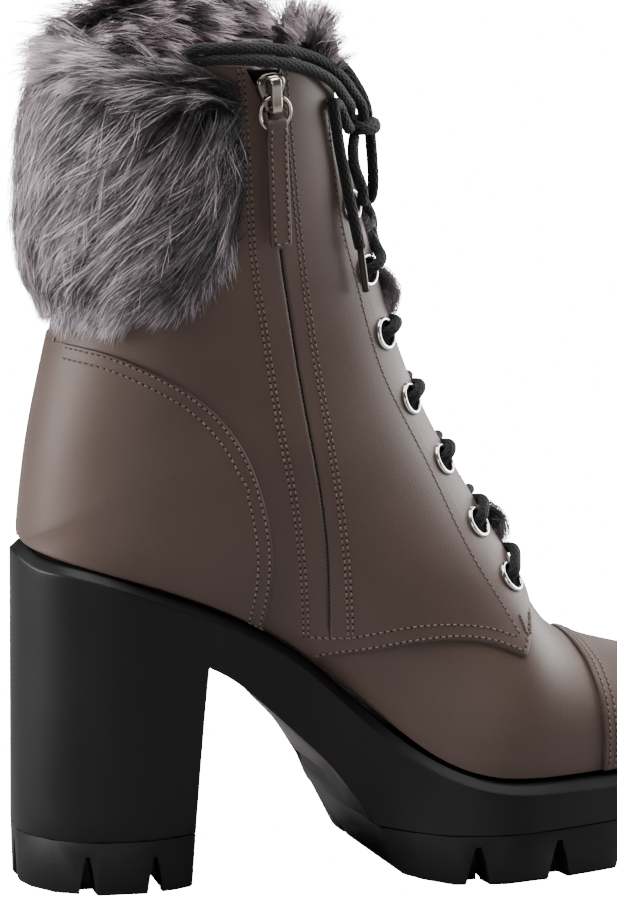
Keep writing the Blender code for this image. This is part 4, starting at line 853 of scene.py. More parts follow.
def build_finishes():
    """Shader groups and materials, made once and shared by every operator."""
    if FINISH:
        return
    scene = bpy.context.scene
    leather, rubber, fur = scene.boot_leather, scene.boot_rubber, scene.boot_fur
    GROUPS.update(pebble=pebble_group(), wear=wear_group(), braid=braid_group())
    taupe, black = tuple(leather.colour), tuple(rubber.colour)
    FINISH.update(
        leather=leather_material("taupe_leather", taupe, leather.grain_cells),
        lining=leather_material("lining_leather", times(taupe, 0.8)[:3], 1100.0, 0.3, 0.7, False),
        insole=leather_material("insole_leather", times(taupe, 0.9)[:3], 1100.0, 0.3, 0.65, False),
        waist=leather_material("waist_board", (0.175, 0.14, 0.125), 1200.0, 0.12, 0.55, False),
        rubber=rubber_material("platform_rubber", black, rubber.roughness),
        tread=rubber_material("tread_rubber", black, rubber.roughness + 0.08, 1300.0, 0.25),
        metal=metal_material("polished_nickel", (0.6, 0.53, 0.46), 0.2),
        slider=metal_material("smoked_nickel", (0.27, 0.23, 0.21), 0.22),
        rim=metal_material("bright_nickel", (0.86, 0.84, 0.81), 0.14),
        teeth=metal_material("dark_nickel", (0.16, 0.15, 0.145), 0.3),
        lace=lace_material("braided_lace", (0.007, 0.0066, 0.0068)),
        aglet=rubber_material("aglet_sheath", (0.03, 0.02, 0.017), 0.3),
        tape=undercoat_material("zip_tape_weave", (0.012, 0.011, 0.011)),
        thread=thread_material("taupe_thread", tuple(leather.thread_colour)),
        pinhole=rubber_material("pinhole_shadow", (0.016, 0.011, 0.009), 0.8),
        hair=hair_material("fur_hair", fur.root_colour, fur.middle_colour, fur.tip_colour),
        undercoat=undercoat_material("fur_undercoat", (0.014, 0.011, 0.0125)),
    )


# ---------------------------------------------------------------- leather pieces
def throat_line():
    """Edge of the throat from its foot to the collar, closer spaced round its end."""
    v = np.concatenate([np.linspace(THROAT_FOOT, 9.0, 80),
                        np.linspace(9.05, collar_row(THROAT_HALF), 200)])
    return with_reach(np.stack([v, throat_half(v)], 1))


def collar_line(first, last):
    """Collar's edge between two columns."""
    q = np.linspace(first, last, 240)
    return with_reach(np.stack([collar_row(q), q], 1))


def seam_line():
    """Back seam from the feather line to the collar."""
    v = np.linspace(SEAM_FOOT, COLLAR_ROW, 240)
    return with_reach(np.stack([v, np.ones_like(v)], 1))


SLIT_HALF, MOUTH_FRONT, MOUTH_BACK = 0.22, 6.4, 7.2


def slit_lines():
    """Slit's front and back edges from its foot to the collar, sharing one length, and how far
    it is open along it: closed below its end, even above, and flared in a V to the collar."""
    line = side_line(SLIT)
    line[-1, 0] = COLLAR_ROW
    line, reach = with_reach(line)
    v, q = line.T
    height = form_point(v, q)[:, 2]
    marks = (84.0, 88.0, 259.0, 264.0, 274.6)
    edges = []
    for sign, mouth in ((-1, MOUTH_FRONT), (1, MOUTH_BACK)):
        opened = np.interp(height, marks, (0.0, SLIT_HALF, SLIT_HALF,
                                           SLIT_HALF + 0.22 * (mouth - SLIT_HALF), mouth))
        place = q + sign * opened / girth_at(v, q)
        edges.append((np.stack([np.minimum(v, collar_row(place)), place], 1), reach))
    free = np.interp(height, marks[:2], (0.0, 1.0))
    return edges[0], edges[1], (reach / reach[-1], free)


def cut_line(line, low, high):
    """Part of a line between two shares of its length."""
    return with_reach(read_line(line, np.linspace(low, high, 240)))


class BOOT_OT_quarters(bpy.types.Operator):
    """Build the inner quarter with its zip slit, the outer quarter and the strip on the back seam"""
    bl_idname = "boot.quarters"
    bl_label = "Quarters"

    def execute(self, context):
        build_finishes()
        pitch = context.scene.boot_leather.mesh_pitch
        front, back, (at, free) = slit_lines()
        throat, seam = throat_line(), seam_line()
        low = np.concatenate([[(THROAT_FOOT, 0.0)], side_line(QUARTER_FRONT)[::-1],
                              side_line(QUARTER_LOW)[::-1], [(SEAM_FOOT, 1.0)]])
        whole_low = with_reach(low)
        corner = whole_low[1][SIDE_POINTS] / whole_low[1][-1]
        foot = np.argmin(np.linalg.norm(form_point(*low.T) - form_point(*front[0][0]), axis=1))
        front[0][0], back[0][0] = low[foot], low[foot]
        foot = whole_low[1][foot] / whole_low[1][-1]
        low_front, low_back = cut_line(whole_low, 0.0, foot), cut_line(whole_low, foot, 1.0)
        up = even_shares(front[1][-1], pitch, stops=(np.interp(0.5, free, at),))
        slit_free = np.interp(up, at, free)
        across = even_shares(low_front[1][-1], pitch, stops=(corner / foot,))
        v, q = patch(low_front, collar_line(THROAT_HALF, front[0][-1, 1]), throat, front, across, up)
        sheets = [(v, q, edge_distance(v, q, end=slit_free), -1)]
        across = even_shares(60.0, pitch * 1.6, high=False)
        v, q = patch(low_back, collar_line(back[0][-1, 1], 1.0), back, seam, across, up)
        sheets.append((v, q, edge_distance(v, q, start=slit_free, end=0.0), -1))
        leather_panel("quarter_inner_leather", sheets, 0.0, -1.0, replaces=("quarter_inner",))
        up = even_shares(throat[1][-1], pitch * 1.4)
        across = even_shares(whole_low[1][-1], pitch * 1.4, high=False, stops=(corner,))
        v, q = patch(whole_low, collar_line(THROAT_HALF, 1.0), throat, seam, across, up)
        leather_panel("quarter_outer_leather", [(v, q, edge_distance(v, q, end=0.0), 1)], 0.0, -1.0,
                      replaces=("quarter_outer",))
        v, q = np.meshgrid(np.linspace(20.9, 22.6, 24), np.linspace(0.955, 1.0, 9), indexing="ij")
        leather_panel("back_stay_strip", both_sides(v, q, edge_distance(v, q, high=0.0, end=0.0)),
                      0.75, 0.05)
        return {"FINISHED"}


class BOOT_OT_upper(bpy.types.Operator):
    """Build the vamp and lining: one wall from toe to collar, open at the throat and the zip"""
    bl_idname = "boot.upper"
    bl_label = "Vamp and lining"

    def execute(self, context):
        build_finishes()
        slit_foot, slit_even, mouth = 11.78, 11.95, 23.05
        rows = np.concatenate([[0.0, 0.05, 0.12], np.linspace(0.25, 4.5, 16),
                               np.linspace(4.7, 9.4, 44), np.linspace(9.6, 11.7, 16),
                               np.linspace(slit_foot, 23.9, 56), [23.94, 23.97, 23.99, COLLAR_ROW]])
        slit = side_line(SLIT)
        middle = np.interp(rows, slit[:, 0], slit[:, 1])
        girth = np.maximum(girth_at(rows, middle), 1e-6)
        marks = (slit_foot, slit_even, mouth, COLLAR_ROW)
        free = np.interp(rows, marks[:2], (0.0, 1.0))
        front = middle - np.interp(rows, marks, (0, 2.8, 2.8, 8.6)) / girth
        back = middle + np.interp(rows, marks, (0, 2.8, 2.8, 9.4)) / girth
        throat, seam = throat_half(rows), np.ones_like(rows)
        opened = rows > THROAT_ROW
        sheets = []
        for sign, first, last, first_free, last_free, count in (
                (-1, throat, front, opened, free, 28), (-1, back, seam, free, 0.0, 14),
                (1, throat, seam, opened, 0.0, 36)):
            share = np.concatenate([[0, 0.004, 0.01], np.linspace(0.02, 0.98, count), [0.99, 0.996, 1]])
            q = first[:, None] + (last - first)[:, None] * share
            v = rows[:, None] - collar_drop(rows[:, None], q)
            distance = edge_distance(v, q, low=0.0, start=first_free, end=last_free)
            sheets.append((v, q, distance, sign))
        leather_panel("upper_vamp", sheets, -1.3, -3.3, radius=0.7, replaces=("upper",),
                      back_material=FINISH["lining"])
        return {"FINISHED"}


class BOOT_OT_counter(bpy.types.Operator):
    """Build the heel counter: straight lines from the back seam to its curved edge"""
    bl_idname = "boot.counter"
    bl_label = "Heel counter"

    def execute(self, context):
        build_finishes()
        pitch = context.scene.boot_leather.mesh_pitch
        edge = with_reach(counter_line())
        across = even_shares(edge[1][-1], pitch, low=False, high=False)
        up = even_shares(70.0, pitch, low=False)[:, None]
        rim = read_line(edge, across)
        base = rim[0, 0] + (rim[-1, 0] - rim[0, 0]) * (0.5 - 0.5 * np.cos(np.pi * across))
        v = (1 - up) * base + up * rim[:, 0]
        q = (1 - up) + up * rim[:, 1]
        distance = edge_distance(v, q, low=0.0, start=0.0, end=0.0)
        leather_panel("heel_counter_leather", both_sides(v, q, distance), 1.3, 0.3,
                      replaces=("heel_counter",))
        return {"FINISHED"}


def cap_row(q):
    """Row of the toe cap's edge at each column, by halving between two rows."""
    low, high = (np.full_like(q, row) for row in CAP_BETWEEN)
    edge = np.array(CAP_EDGE)[::-1]
    for _ in range(30):
        middle = (low + high) / 2
        point = form_point(middle, q)
        ahead = point[..., 0] > np.interp(point[..., 2], edge[:, 1], edge[:, 0])
        low, high = np.where(ahead, middle, low), np.where(ahead, high, middle)
    return (low + high) / 2


class BOOT_OT_toe_cap(bpy.types.Operator):
    """Build the toe cap: rows shared between the toe's tip and the cap's seam"""
    bl_idname = "boot.toe_cap"
    bl_label = "Toe cap"

    def execute(self, context):
        build_finishes()
        pitch = context.scene.boot_leather.mesh_pitch
        q = even_shares(75.0, pitch, low=False, high=False)
        v = even_shares(60.0, pitch, low=False)[:, None] * cap_row(q)
        q = np.broadcast_to(q, v.shape)
        distance = edge_distance(v, q, low=0.0, start=0.0, end=0.0)
        leather_panel("toe_cap_leather", both_sides(v, q, distance), 0.0, -1.0, replaces=("toe_cap",))
        return {"FINISHED"}


# ---------------------------------------------------------------- stitching
CAP_ROWS = (2.2, 4.9)          # millimetres ahead of the cap's edge
COUNTER_ROWS = (1.3, 5.0)      # and inside the counter's edge
LOW_INSET, ROW_GAP = 1.6, 1.6
THREAD_WIDTH = 0.6
BACKTACKS = (((166.6, 81.9), (164.9, 87.6)), ((167.9, 81.7), (169.2, 87.4)))


def seam_rows():
    """Every seam's name, height over the form, sides and (row, column) lines."""
    edge = counter_line()[6:-3]
    counter = [shifted(edge, aside) for aside in COUNTER_ROWS]
    back, front = side_line(ZIP_BACK_ROW), side_line(ZIP_FRONT_ROW)
    foot = side_line(((93.2, 83.9), (100.0, 83.6), (107.0, 83.9)))
    zip_rows = [back, shifted(back, ROW_GAP), front, shifted(front, ROW_GAP), foot]
    quarter = [side_line(EYESTAY_ROW), side_line(QUARTER_TOP_ROW),
               shifted(side_line(QUARTER_LOW), -LOW_INSET)[8:-6],
               shifted(side_line(QUARTER_FRONT), -LOW_INSET)[10:]]
    return (("stitches_counter", 1.3, (-1, 1), counter), ("stitches_zip", 0.0, (-1,), zip_rows),
            ("stitches_quarters", 0.0, (-1, 1), quarter))


def stitch_shape():
    """Small capsule along x with its ends dipping: five bands of six faces."""
    x = np.array([-1.0, -0.9, -0.5, 0.5, 0.9, 1.0])[:, None]
    r = np.array([0.02, 0.62, 1.0, 1.0, 0.62, 0.02])[:, None]
    turns = np.arange(6) * np.pi / 3
    return ring_grid(np.stack([np.repeat(x, 6, 1), r * np.cos(turns),
                               r * np.sin(turns) - 0.9 * np.abs(x) ** 3], -1))


def along_seam(points, normals, pitch):
    """Places and axes every `pitch` millimetres along a line in space."""
    reach = reach_of(points)
    count = max(int(reach[-1] / pitch), 2)
    at = (np.arange(count) + 0.5) / count * reach[-1]
    middle, ahead, out = (np.stack([np.interp(at, reach, held[:, k]) for k in range(3)], 1)
                          for held in (points, unit(np.gradient(points, axis=0)), normals))
    out = unit(out - ahead * (out * ahead).sum(1, keepdims=True))
    return middle, np.stack([unit(ahead), np.cross(out, unit(ahead)), out], 1)


def on_form(line, sign, out):
    """Run of (points, normals) of a (row, column) line on one side, at a height over the form."""
    v, q = line[:, 0], sign * line[:, 1]
    return form(v, q, out), form_normal(v, q)


def sew(name, runs, pitch, length, width, body=BODY):
    """Stitches along runs of (points, normals): half sunk into the leather, and pinholes under
    their ends as small dark dishes of painted shade."""
    middle, axes = (np.concatenate(parts) for parts in zip(*(along_seam(*run, pitch) for run in runs)))
    base, faces = stitch_shape()
    base = base * (length / 2, width / 2, width * 0.42) + (0, 0, 0.10)
    points, quads = scatter_copies(base, faces, middle, axes)
    make_object(name, points, quads, FINISH["thread"], body, "leather")
    # pinholes: small dark dishes of painted shade
    base, faces = dish(8, ((0.42, 0.34, 0.035), (0.01, 0.01, 0.03)))
    points, quads = scatter_copies(base, faces, middle + axes[:, 0] * pitch / 2, axes)
    make_object(name.replace("stitches", "pinholes"), points, quads, FINISH["pinhole"], body,
                "leather", closed=False)


class BOOT_OT_stitching(bpy.types.Operator):
    """Sew every seam: capsules at an even pitch along lines on the leather"""
    bl_idname = "boot.stitching"
    bl_label = "Stitching"

    def execute(self, context):
        build_finishes()
        sizes = context.scene.boot_leather
        pitch, length = sizes.stitch_pitch, sizes.stitch_length
        for name, out, signs, lines in seam_rows():
            runs = [on_form(line, sign, out) for sign in signs for line in lines]
            sew(name, runs, pitch, length, THREAD_WIDTH)
        bars = [on_form(side_line(ends, 12), sign, 0.15) for ends in BACKTACKS for sign in (-1, 1)]
        sew("stitches_backtack", bars, pitch=1.0, length=1.5, width=0.95)
        q = np.linspace(-0.985, 0.985, 400)
        edge = cap_row(np.abs(q))
        per_row = np.linalg.norm(form_point(edge, q) - form_point(edge - 0.1, q), axis=-1) / 0.1
        runs = [on_form(np.stack([edge - ahead / per_row, q], 1), 1, 0.0) for ahead in CAP_ROWS]
        sew("stitches_cap", runs, pitch, length, THREAD_WIDTH)
        return {"FINISHED"}


# ---------------------------------------------------------------- zip
TAPE_HALF, TAPE_MOUTH, TAPE_COLUMNS = 2.5, 8.8, 13
TOOTH_PITCH, TOOTH_SIZE, TOOTH_TOP = 1.45, (0.42, 1.5, 0.4), (0.7, 0.92)
TEETH_END = 262.0              # height where the slider hides the teeth


class BOOT_OT_zip(bpy.types.Operator):
    """Build the zip's tape as a strip under the slit and its teeth as small blocks in one row"""
    bl_idname = "boot.zip"
    bl_label = "Zip"

    def execute(self, context):
        build_finishes()
        line = with_reach(side_line(SLIT[1:]))
        v, q = read_line(line, even_shares(line[1][-1], 2.0, low=False, high=False)).T
        half = np.interp(form_point(v, q)[:, 2], (84.0, 257.0, 274.6), (TAPE_HALF, TAPE_HALF, TAPE_MOUTH))
        share = np.linspace(-1, 1, TAPE_COLUMNS)
        columns = q[:, None] + share * (half / girth_at(v, q))[:, None]
        rows = np.minimum(np.repeat(v[:, None], TAPE_COLUMNS, 1), 23.93)
        leather_panel("zip_tape_cloth", [(rows, columns, edge_distance(rows, columns), -1)], -2.2, -3.1,
                      "tape", 0.3, "tape", replaces=("zip_tape",))
        centres = form(v, -q, -1.5)
        keep = centres[:, 2] < TEETH_END
        middle, axes = along_seam(centres[keep], form_normal(v, -q)[keep], TOOTH_PITCH)
        corners = np.array([(-1, -1), (1, -1), (1, 1), (-1, 1)]) * TOOTH_SIZE[:2]
        tooth = np.concatenate([np.insert(corners, 2, -TOOTH_SIZE[2], 1),
                                np.insert(corners * TOOTH_TOP, 2, TOOTH_SIZE[2], 1)])
        block = np.array([(0, 3, 2, 1), (4, 5, 6, 7), (0, 1, 5, 4), (1, 2, 6, 5), (2, 3, 7, 6),
                          (3, 0, 4, 7)])
        points, quads = scatter_copies(tooth, block, middle, axes)
        make_object("zip_teeth_rows", points, quads, FINISH["teeth"], slot="metal",
                    replaces=("zip_teeth",), sharp=30)
        return {"FINISHED"}


SLIDER_SEAT, SLIDER_PLACE = (78.9, 258.0), (78.4, 266.0)
PULL_FOOT, PULL_AXIS = (82.1, 215.0), 3.7
RING_RADIUS, RING_WIRE = 5.6, 0.65
SLIDER_HALF = ((-6.0, 2.6), (-4.6, 2.9), (-2.0, 3.4), (1.0, 4.5), (3.6, 5.2), (5.4, 4.9), (7.0, 3.2))
SLIDER_LEVELS = ((0.3, 0.01), (0.3, 0.94), (0.5, 0.99), (0.8, 1.0), (1.5, 1.0), (1.95, 0.97),
                 (2.3, 0.91), (2.55, 0.82), (2.65, 0.7), (2.7, 0.01))     # height, share of the outline
BRIDGE = ((-5.3, 1.8), (-5.3, 3.9), (-5.05, 4.7), (-4.3, 5.25), (-2.0, 5.4), (3.0, 5.4), (5.0, 5.25),
          (5.75, 4.7), (6.0, 3.9), (6.0, 1.8))                            # along, out
BRIDGE_HALF, BRIDGE_THICK = 1.75, 0.5
TAB = np.array(((-7.3, 3.0, 0.7), (-7.7, 3.5, 1.5), (-8.6, 3.75, 1.95), (-12.3, 3.75, 1.9),
                (-14.8, 3.85, 1.15), (-20.0, 3.85, 1.1), (-48.4, 3.85, 1.1), (-49.9, 3.5, 1.05),
                (-50.6, 2.9, 0.9)))     # along, half width, half thickness
TAB_ROWS, TAB_END_ROW = (-2.6, 2.5), -49.2


def local_frame(origin, along, normal):
    """Local frame: its rows point across, along and out of the surface."""
    along = unit(np.asarray(along, float))
    normal = unit(normal - along * normal.dot(along))
    return np.asarray(origin), np.stack([np.cross(normal, along), along, normal])


def slider_frames():
    """Frames of the slider on the slit's line, and of the ring and tab that hang from it."""
    seat, middle = (form_point(*side_place(x, z)) for x, z in (SLIDER_SEAT, SLIDER_PLACE))
    slider = local_frame(middle, middle - seat, form_normal(*side_place(*SLIDER_PLACE)))
    across, _, normal = slider[1]
    axis = middle + PULL_AXIS * normal
    hang = axis - form(*side_place(*PULL_FOOT), PULL_AXIS)
    return slider, local_frame(axis, hang - across * hang.dot(across), normal)


def superellipse(count, power):
    """Cosines and sines of a round with flattened sides."""
    turns = np.arange(count) * 2 * np.pi / count
    c, s = np.cos(turns), np.sin(turns)
    return np.sign(c) * np.abs(c) ** (2 / power), np.sign(s) * np.abs(s) ** (2 / power)


def placed(local, points):
    """Points of a local frame in the boot's own millimetres."""
    origin, axes = local
    return origin + np.asarray(points, float) @ axes


def bridge_rings():
    """Rounded bar bent in a low arch over the slider, and up again at both its feet."""
    route = smooth_path(np.insert(BRIDGE, 0, 0.0, axis=1), 0.4)
    across = np.array([1.0, 0, 0])
    side = np.cross(unit(np.gradient(route, axis=0)), across)
    c, s = superellipse(20, 5)
    return (route[:, None] + BRIDGE_HALF * c[None, :, None] * across
            + BRIDGE_THICK * s[None, :, None] * side[:, None])


def wire_rings():
    """Rings of a round wire bent to a circle that hangs from its top."""
    turns = np.linspace(0, 2 * np.pi, 48, endpoint=False)
    wire = np.linspace(0, 2 * np.pi, 12, endpoint=False)
    spoke = np.stack([np.sin(turns), np.cos(turns), 0 * turns], 1)
    centre = spoke * RING_RADIUS - (0, RING_RADIUS, 0)
    return centre[:, None] + RING_WIRE * (np.cos(wire)[None, :, None] * spoke[:, None]
                                          + np.sin(wire)[None, :, None] * UP)


def tab_rings():
    """Flat strap with rounded edges, thick over the ring and thin below it."""
    reach = reach_of(TAB)
    along = np.interp(np.linspace(0, 1, 90) * reach[-1], reach, TAB[:, 0])
    width, thick = (np.interp(-along, -TAB[:, 0], TAB[:, k])[:, None] for k in (1, 2))
    c, s = superellipse(36, 7)
    rings = np.stack([width * c, np.repeat(along[:, None], 36, 1), thick * s], -1)
    return np.concatenate([rings[:1] * (0.01, 1, 0.01), rings, rings[-1:] * (0.01, 1, 0.01)])


class BOOT_OT_slider(bpy.types.Operator):
    """Build the zip's slider with its bridge, and the ring and stitched tab of its pull"""
    bl_idname = "boot.slider"
    bl_label = "Slider and pull"

    def execute(self, context):
        build_finishes()
        slider, pull = slider_frames()
        half = np.array(SLIDER_HALF)
        along = half[0, 0] + (half[-1, 0] - half[0, 0]) * (0.5 - 0.5 * np.cos(np.linspace(0, np.pi, 25)))
        width = natural_spline(half[:, 0], half[:, 1], along)[:, 0]
        width *= np.clip(1 - np.abs((along - 0.5) / 6.55) ** 14, 0, 1) ** 0.5
        outline = np.concatenate([np.stack([width, along], 1), np.stack([-width, along], 1)[::-1]])
        rings = [np.insert((outline - (0, 0.5)) * grow + (0, 0.5), 2, height, axis=1)
                 for height, grow in SLIDER_LEVELS]
        make_object("slider_body", *ring_grid(placed(slider, rings)), FINISH["slider"], slot="metal",
                    replaces=("zip_slider",), sharp=50)
        make_object("slider_bridge", *ring_grid(placed(slider, bridge_rings())), FINISH["metal"],
                    slot="metal", sharp=50, closed=False)
        make_object("pull_ring_wire", *ring_grid(placed(pull, wire_rings()), close_rows=True),
                    FINISH["metal"], "pull", "metal", replaces=("pull_ring",))
        points, faces = ring_grid(placed(pull, tab_rings()))
        make_object("pull_tab_leather", points, faces, FINISH["leather"], "pull", "leather",
                    replaces=("pull_tab",), sharp=60, values={"edge": np.full(len(points), UNWORN)})
        y = np.linspace(-10.0, -48.6, 80)
        face = np.interp(-y, -TAB[:, 0], TAB[:, 2]) * 0.995
        lines = [np.stack([np.full_like(y, x), y, face], 1) for x in TAB_ROWS]
        x = np.linspace(-2.6, 2.6, 20)
        lines.append(np.stack([x, np.full_like(x, TAB_END_ROW), np.full_like(x, 1.04)], 1))
        runs = [(placed(pull, line), np.repeat(pull[1][2:3], len(line), 0)) for line in lines]
        sew("pull_tab_stitches", runs, pitch=2.3, length=1.45, width=0.75, body="pull")
        return {"FINISHED"}


# ---------------------------------------------------------------- eyelets and laces
class BOOT_OT_eyelets(bpy.types.Operator):
    """Build the eyelets: a rolled rim turned round each hole's normal, and a dark dish of painted shade in
    it
    """
    bl_idname = "boot.eyelets"
    bl_label = "Eyelets"

    def execute(self, context):
        build_finishes()
        roll = np.linspace(0, 2 * np.pi, 14, endpoint=False)
        profile = np.stack([4.8 + 0.85 * np.cos(roll), 0.25 + 0.85 * np.sin(roll)], 1)
        turns = np.linspace(0, 2 * np.pi, 44, endpoint=False)[:, None]
        v = np.repeat(EYELET_ROWS, 2)
        q = np.repeat(EYELET_SHARES, 2) * np.tile((-1, 1), len(EYELET_ROWS))
        centres, out = form(v, q), form_normal(v, q)
        level = unit(np.cross(out, UP))
        rise = np.cross(level, out)
        for k in range(len(v)):
            node = f"{('inner', 'outer')[k % 2]}_{k // 2 + 1}"
            spoke = np.cos(turns) * level[k] + np.sin(turns) * rise[k]
            rings = centres[k] + profile[None, :, :1] * spoke[:, None] + profile[None, :, 1:] * out[k]
            make_object(f"eyelet_rim_{node}", *ring_grid(rings, close_rows=True), FINISH["rim"],
                        slot="metal", replaces=(f"eyelet_{node}",))
        # dark dishes in the holes are painted shade, in the zip tape's dark finish
        base, faces = dish(24, ((4.4, 4.4, 0.12), (2.2, 2.2, 0.08), (0.01, 0.01, 0.05)))
        points, quads = scatter_copies(base, faces, centres, np.stack([level, -rise, out], 1))
        make_object("eyelet_shadows", points, quads, FINISH["tape"], slot="tape", closed=False)
        return {"FINISHED"}


def cross_route(k, sign):
    """Strand out of one hole, over its facing's edge, across the tongue and under the other.  The
    top strands, which the knot holds up, stay over the tongue."""
    share = EYELET_SHARES[k]
    out_of_hole = [share, share - 0.006, share * 0.62 + 0.02, 0.067]
    if k < len(EYELET_ROWS) - 2:
        along = np.array([0.0, 0.0, 0.0, 0.01, 0.03, 0.3, 0.66, 0.9])
        q = np.array([*out_of_hole, 0.050, 0.01, -0.03, -0.06])
        lift = np.array([-2.0, 0.8, 2.3, 1.9, -1.1, -5.4 + 2.2 * (sign > 0), -5.6, -6.4])
    else:
        along = np.array([0.0, 0.0, 0.01, 0.06, 0.22, 0.57, 0.75, 0.92])
        q = np.array([*out_of_hole, 0.048, 0.0, -0.03, -0.05])
        lift = np.array([-2.0, 0.8, 2.8, 3.0, 2.2 + 0.4 * sign, 2.2 + 0.4 * sign, 2.2, 1.4])
    v = EYELET_ROWS[k] + (EYELET_ROWS[k + 1] - EYELET_ROWS[k]) * along
    return smooth_path(form(v, sign * q, lift), 0.8)


class BOOT_OT_laces(bpy.types.Operator):
    """Build the bow, its ends with their tips, and the strands that cross the tongue"""
    bl_idname = "boot.laces"
    bl_label = "Laces"

    def execute(self, context):
        build_finishes()
        made, paths = {}, {}
        for name, route in BOW.items():
            path = paths[name] = smooth_path(route, 1.0)
            kind = "aglet" if name.startswith("aglet") else "lace"
            radius = np.full(len(path), AGLET_RADIUS if kind == "aglet" else LACE / 2)
            if name == "lace_knot":
                radius *= 1.12 + 0.42 * np.cos(np.linspace(0, 2 * np.pi, len(path))) ** 2
            made[name] = tube_object(name.replace("lace_", "cord_").replace("aglet", "cord_tip"), path,
                                     radius, FINISH[kind], slot=kind, replaces=(name,))
        for side in ("inner", "outer"):
            for kind, far_end, lay in (("loop", "object", "loose"), ("end", "fitting", "hanging")):
                name = f"lace_{kind}_{side}"
                path = to_frame(paths[name])
        for k in range(len(EYELET_ROWS) - 1):
            first, second = (sweep(cross_route(k, sign), LACE / 2) for sign in (-1, 1))
            second = second[0], second[1] + len(first[0]), second[2]
            points, faces, uv = (np.concatenate(parts) for parts in zip(first, second))
            make_object(f"cord_cross_{k + 1}", points, faces, FINISH["lace"], slot="lace", uv=uv,
                        replaces=(f"lace_cross_{k + 1}",), closed=False)
        return {"FINISHED"}


# ---------------------------------------------------------------- tongue and fur
TONGUE_HALF, TONGUE_LOW = 0.2, 8.3


class BOOT_OT_tongue(bpy.types.Operator):
    """Build the padded tongue: a crown under the throat and thin edges under the facings"""
    bl_idname = "boot.tongue"
    bl_label = "Tongue"

    def execute(self, context):
        build_finishes()
        rows = np.concatenate([np.linspace(TONGUE_LOW, 24.0, 96), [24.2, 24.38, 24.46, 24.5]])
        v, q = np.meshgrid(rows, TONGUE_HALF * np.linspace(-1, 1, 31), indexing="ij")
        crown = np.clip(1 - (np.abs(q) / 0.05) ** 2, 0, 1)
        rim = np.clip((TONGUE_HALF - np.abs(q)) / 0.06, 0, 1)
        ends = np.clip((v - TONGUE_LOW) / 1.2, 0, 1) * np.clip((24.6 - v) / 0.6, 0, 1) ** 0.5
        ripple = 0.35 * np.sin(v * 9.0) * np.cos(q * 40.0)
        face = form(v, q, -4.1 + (ripple * rim - 2.6 * crown) * ends)
        back = form(v, q, -4.6 - 4.1 * (0.35 + 0.65 * rim) * (0.4 + 0.6 * ends))
        made = wall("tongue_pad", face.reshape(-1, 3), back.reshape(-1, 3), grid_triangles(*v.shape),
                    FINISH["undercoat"], slot="fur", replaces=("tongue",))
        return {"FINISHED"}


SHAFT_LOW, SHAFT_HIGH = 150.0, 318.0
AROUND_MM = 112.0              # millimetres round the shaft in one half turn of places
HAIR_POINTS = 5


def shaft_table():
    """Points and normals of the shaft on a grid of places round it and heights.  A place is 0 at
    the front line, 1 at the back seam and 2 at the front again, by the inner side."""
    around = np.linspace(0, 2, 121)
    q = np.where(around <= 1, -around, 2 - around)
    z = np.linspace(SHAFT_LOW, SHAFT_HIGH, 113)
    rows = np.linspace(16.0, 27.5, 200)
    heights = form_point(rows[:, None], q[None])[..., 2]
    v = np.stack([np.interp(z, np.maximum.accumulate(column), rows) for column in heights.T])
    q = np.repeat(q[:, None], len(z), 1)
    return form_point(v, q), form_normal(v, q)


def on_shaft(table, around, z):
    """Point and normal at (around, z), blended between the four nearest entries of the table."""
    columns, levels = table[0].shape[:2]
    i = np.clip(around / 2 * (columns - 1), 0, columns - 1.001)
    j = np.clip((z - SHAFT_LOW) / (SHAFT_HIGH - SHAFT_LOW) * (levels - 1), 0, levels - 1.001)
    a, b = i.astype(int), j.astype(int)
    s, t = (i - a)[..., None], (j - b)[..., None]
    point, normal = ((1 - s) * (1 - t) * held[a, b] + s * (1 - t) * held[a + 1, b]
                     + (1 - s) * t * held[a, b + 1] + s * t * held[a + 1, b + 1] for held in table)
    return point, unit(normal)


def backwards(table, around, z):
    """Level directions along the shaft, away from the facings."""
    ahead, behind = (on_shaft(table, around + step, z)[0] for step in (0.01, -0.01))
    return unit(ahead - behind) * np.sign(1 - around)[:, None]


FUR_PROFILE = ((-0.2, 0.12), (0.0, 0.3), (0.1, 0.72), (0.28, 0.95), (0.5, 1.0), (0.7, 0.98), (0.86, 0.82),
               (0.96, 0.5), (1.0, 0.2), (1.1, 0.05))


def fur_limits(around):
    """The cuff's lower edge, upper edge and thickness at places round the shaft."""
    return natural_spline(FUR_CUFF[:, 0], FUR_CUFF[:, 1:], around)


def facing_share(around):
    """0 at the back seam, and 1 near the facings on both sides."""
    return np.clip(np.abs(around - 1) / 0.53, 0, 1)


def fur_depth(around, z):
    """How far the cuff's face stands out from the shaft at a place and a height."""
    low, top, thick = np.moveaxis(fur_limits(around), -1, 0)
    return thick * np.interp((z - low) / (top - low), *np.transpose(FUR_PROFILE))


def hair_ribbons(paths, normals, width, roll):
    """Ribbons along hair paths (hairs, points, 3): each narrows to a point, and lies flat to the
    surface but for its own roll.  Returns points, faces and the share along each hair."""
    hairs, count = paths.shape[:2]
    ahead = unit(np.gradient(paths, axis=1))
    side = unit(np.cross(ahead, normals))
    up = np.cross(side, ahead)
    side = side * np.cos(roll)[:, None, None] + up * np.sin(roll)[:, None, None]
    along = np.linspace(0, 1, count)
    taper = np.interp(along, (0, 0.3, 0.75, 1), (0.9, 1.0, 0.7, 0.0))
    half = (width[:, None] * taper)[..., None] / 2
    points = np.stack([paths - side * half, paths + side * half], 2)
    points = points.reshape(hairs, 2 * count, 3)[:, :-1]
    a = np.arange(count - 2) * 2
    strip = np.concatenate([np.stack([a, a + 1, a + 3], 1), np.stack([a, a + 3, a + 2], 1),
                            [(2 * count - 4, 2 * count - 3, 2 * count - 2)]])
    faces = (np.arange(hairs) * (2 * count - 1))[:, None, None] + strip
    return points.reshape(-1, 3), faces.reshape(-1, 3), np.tile(np.repeat(along, 2)[:-1], hairs)


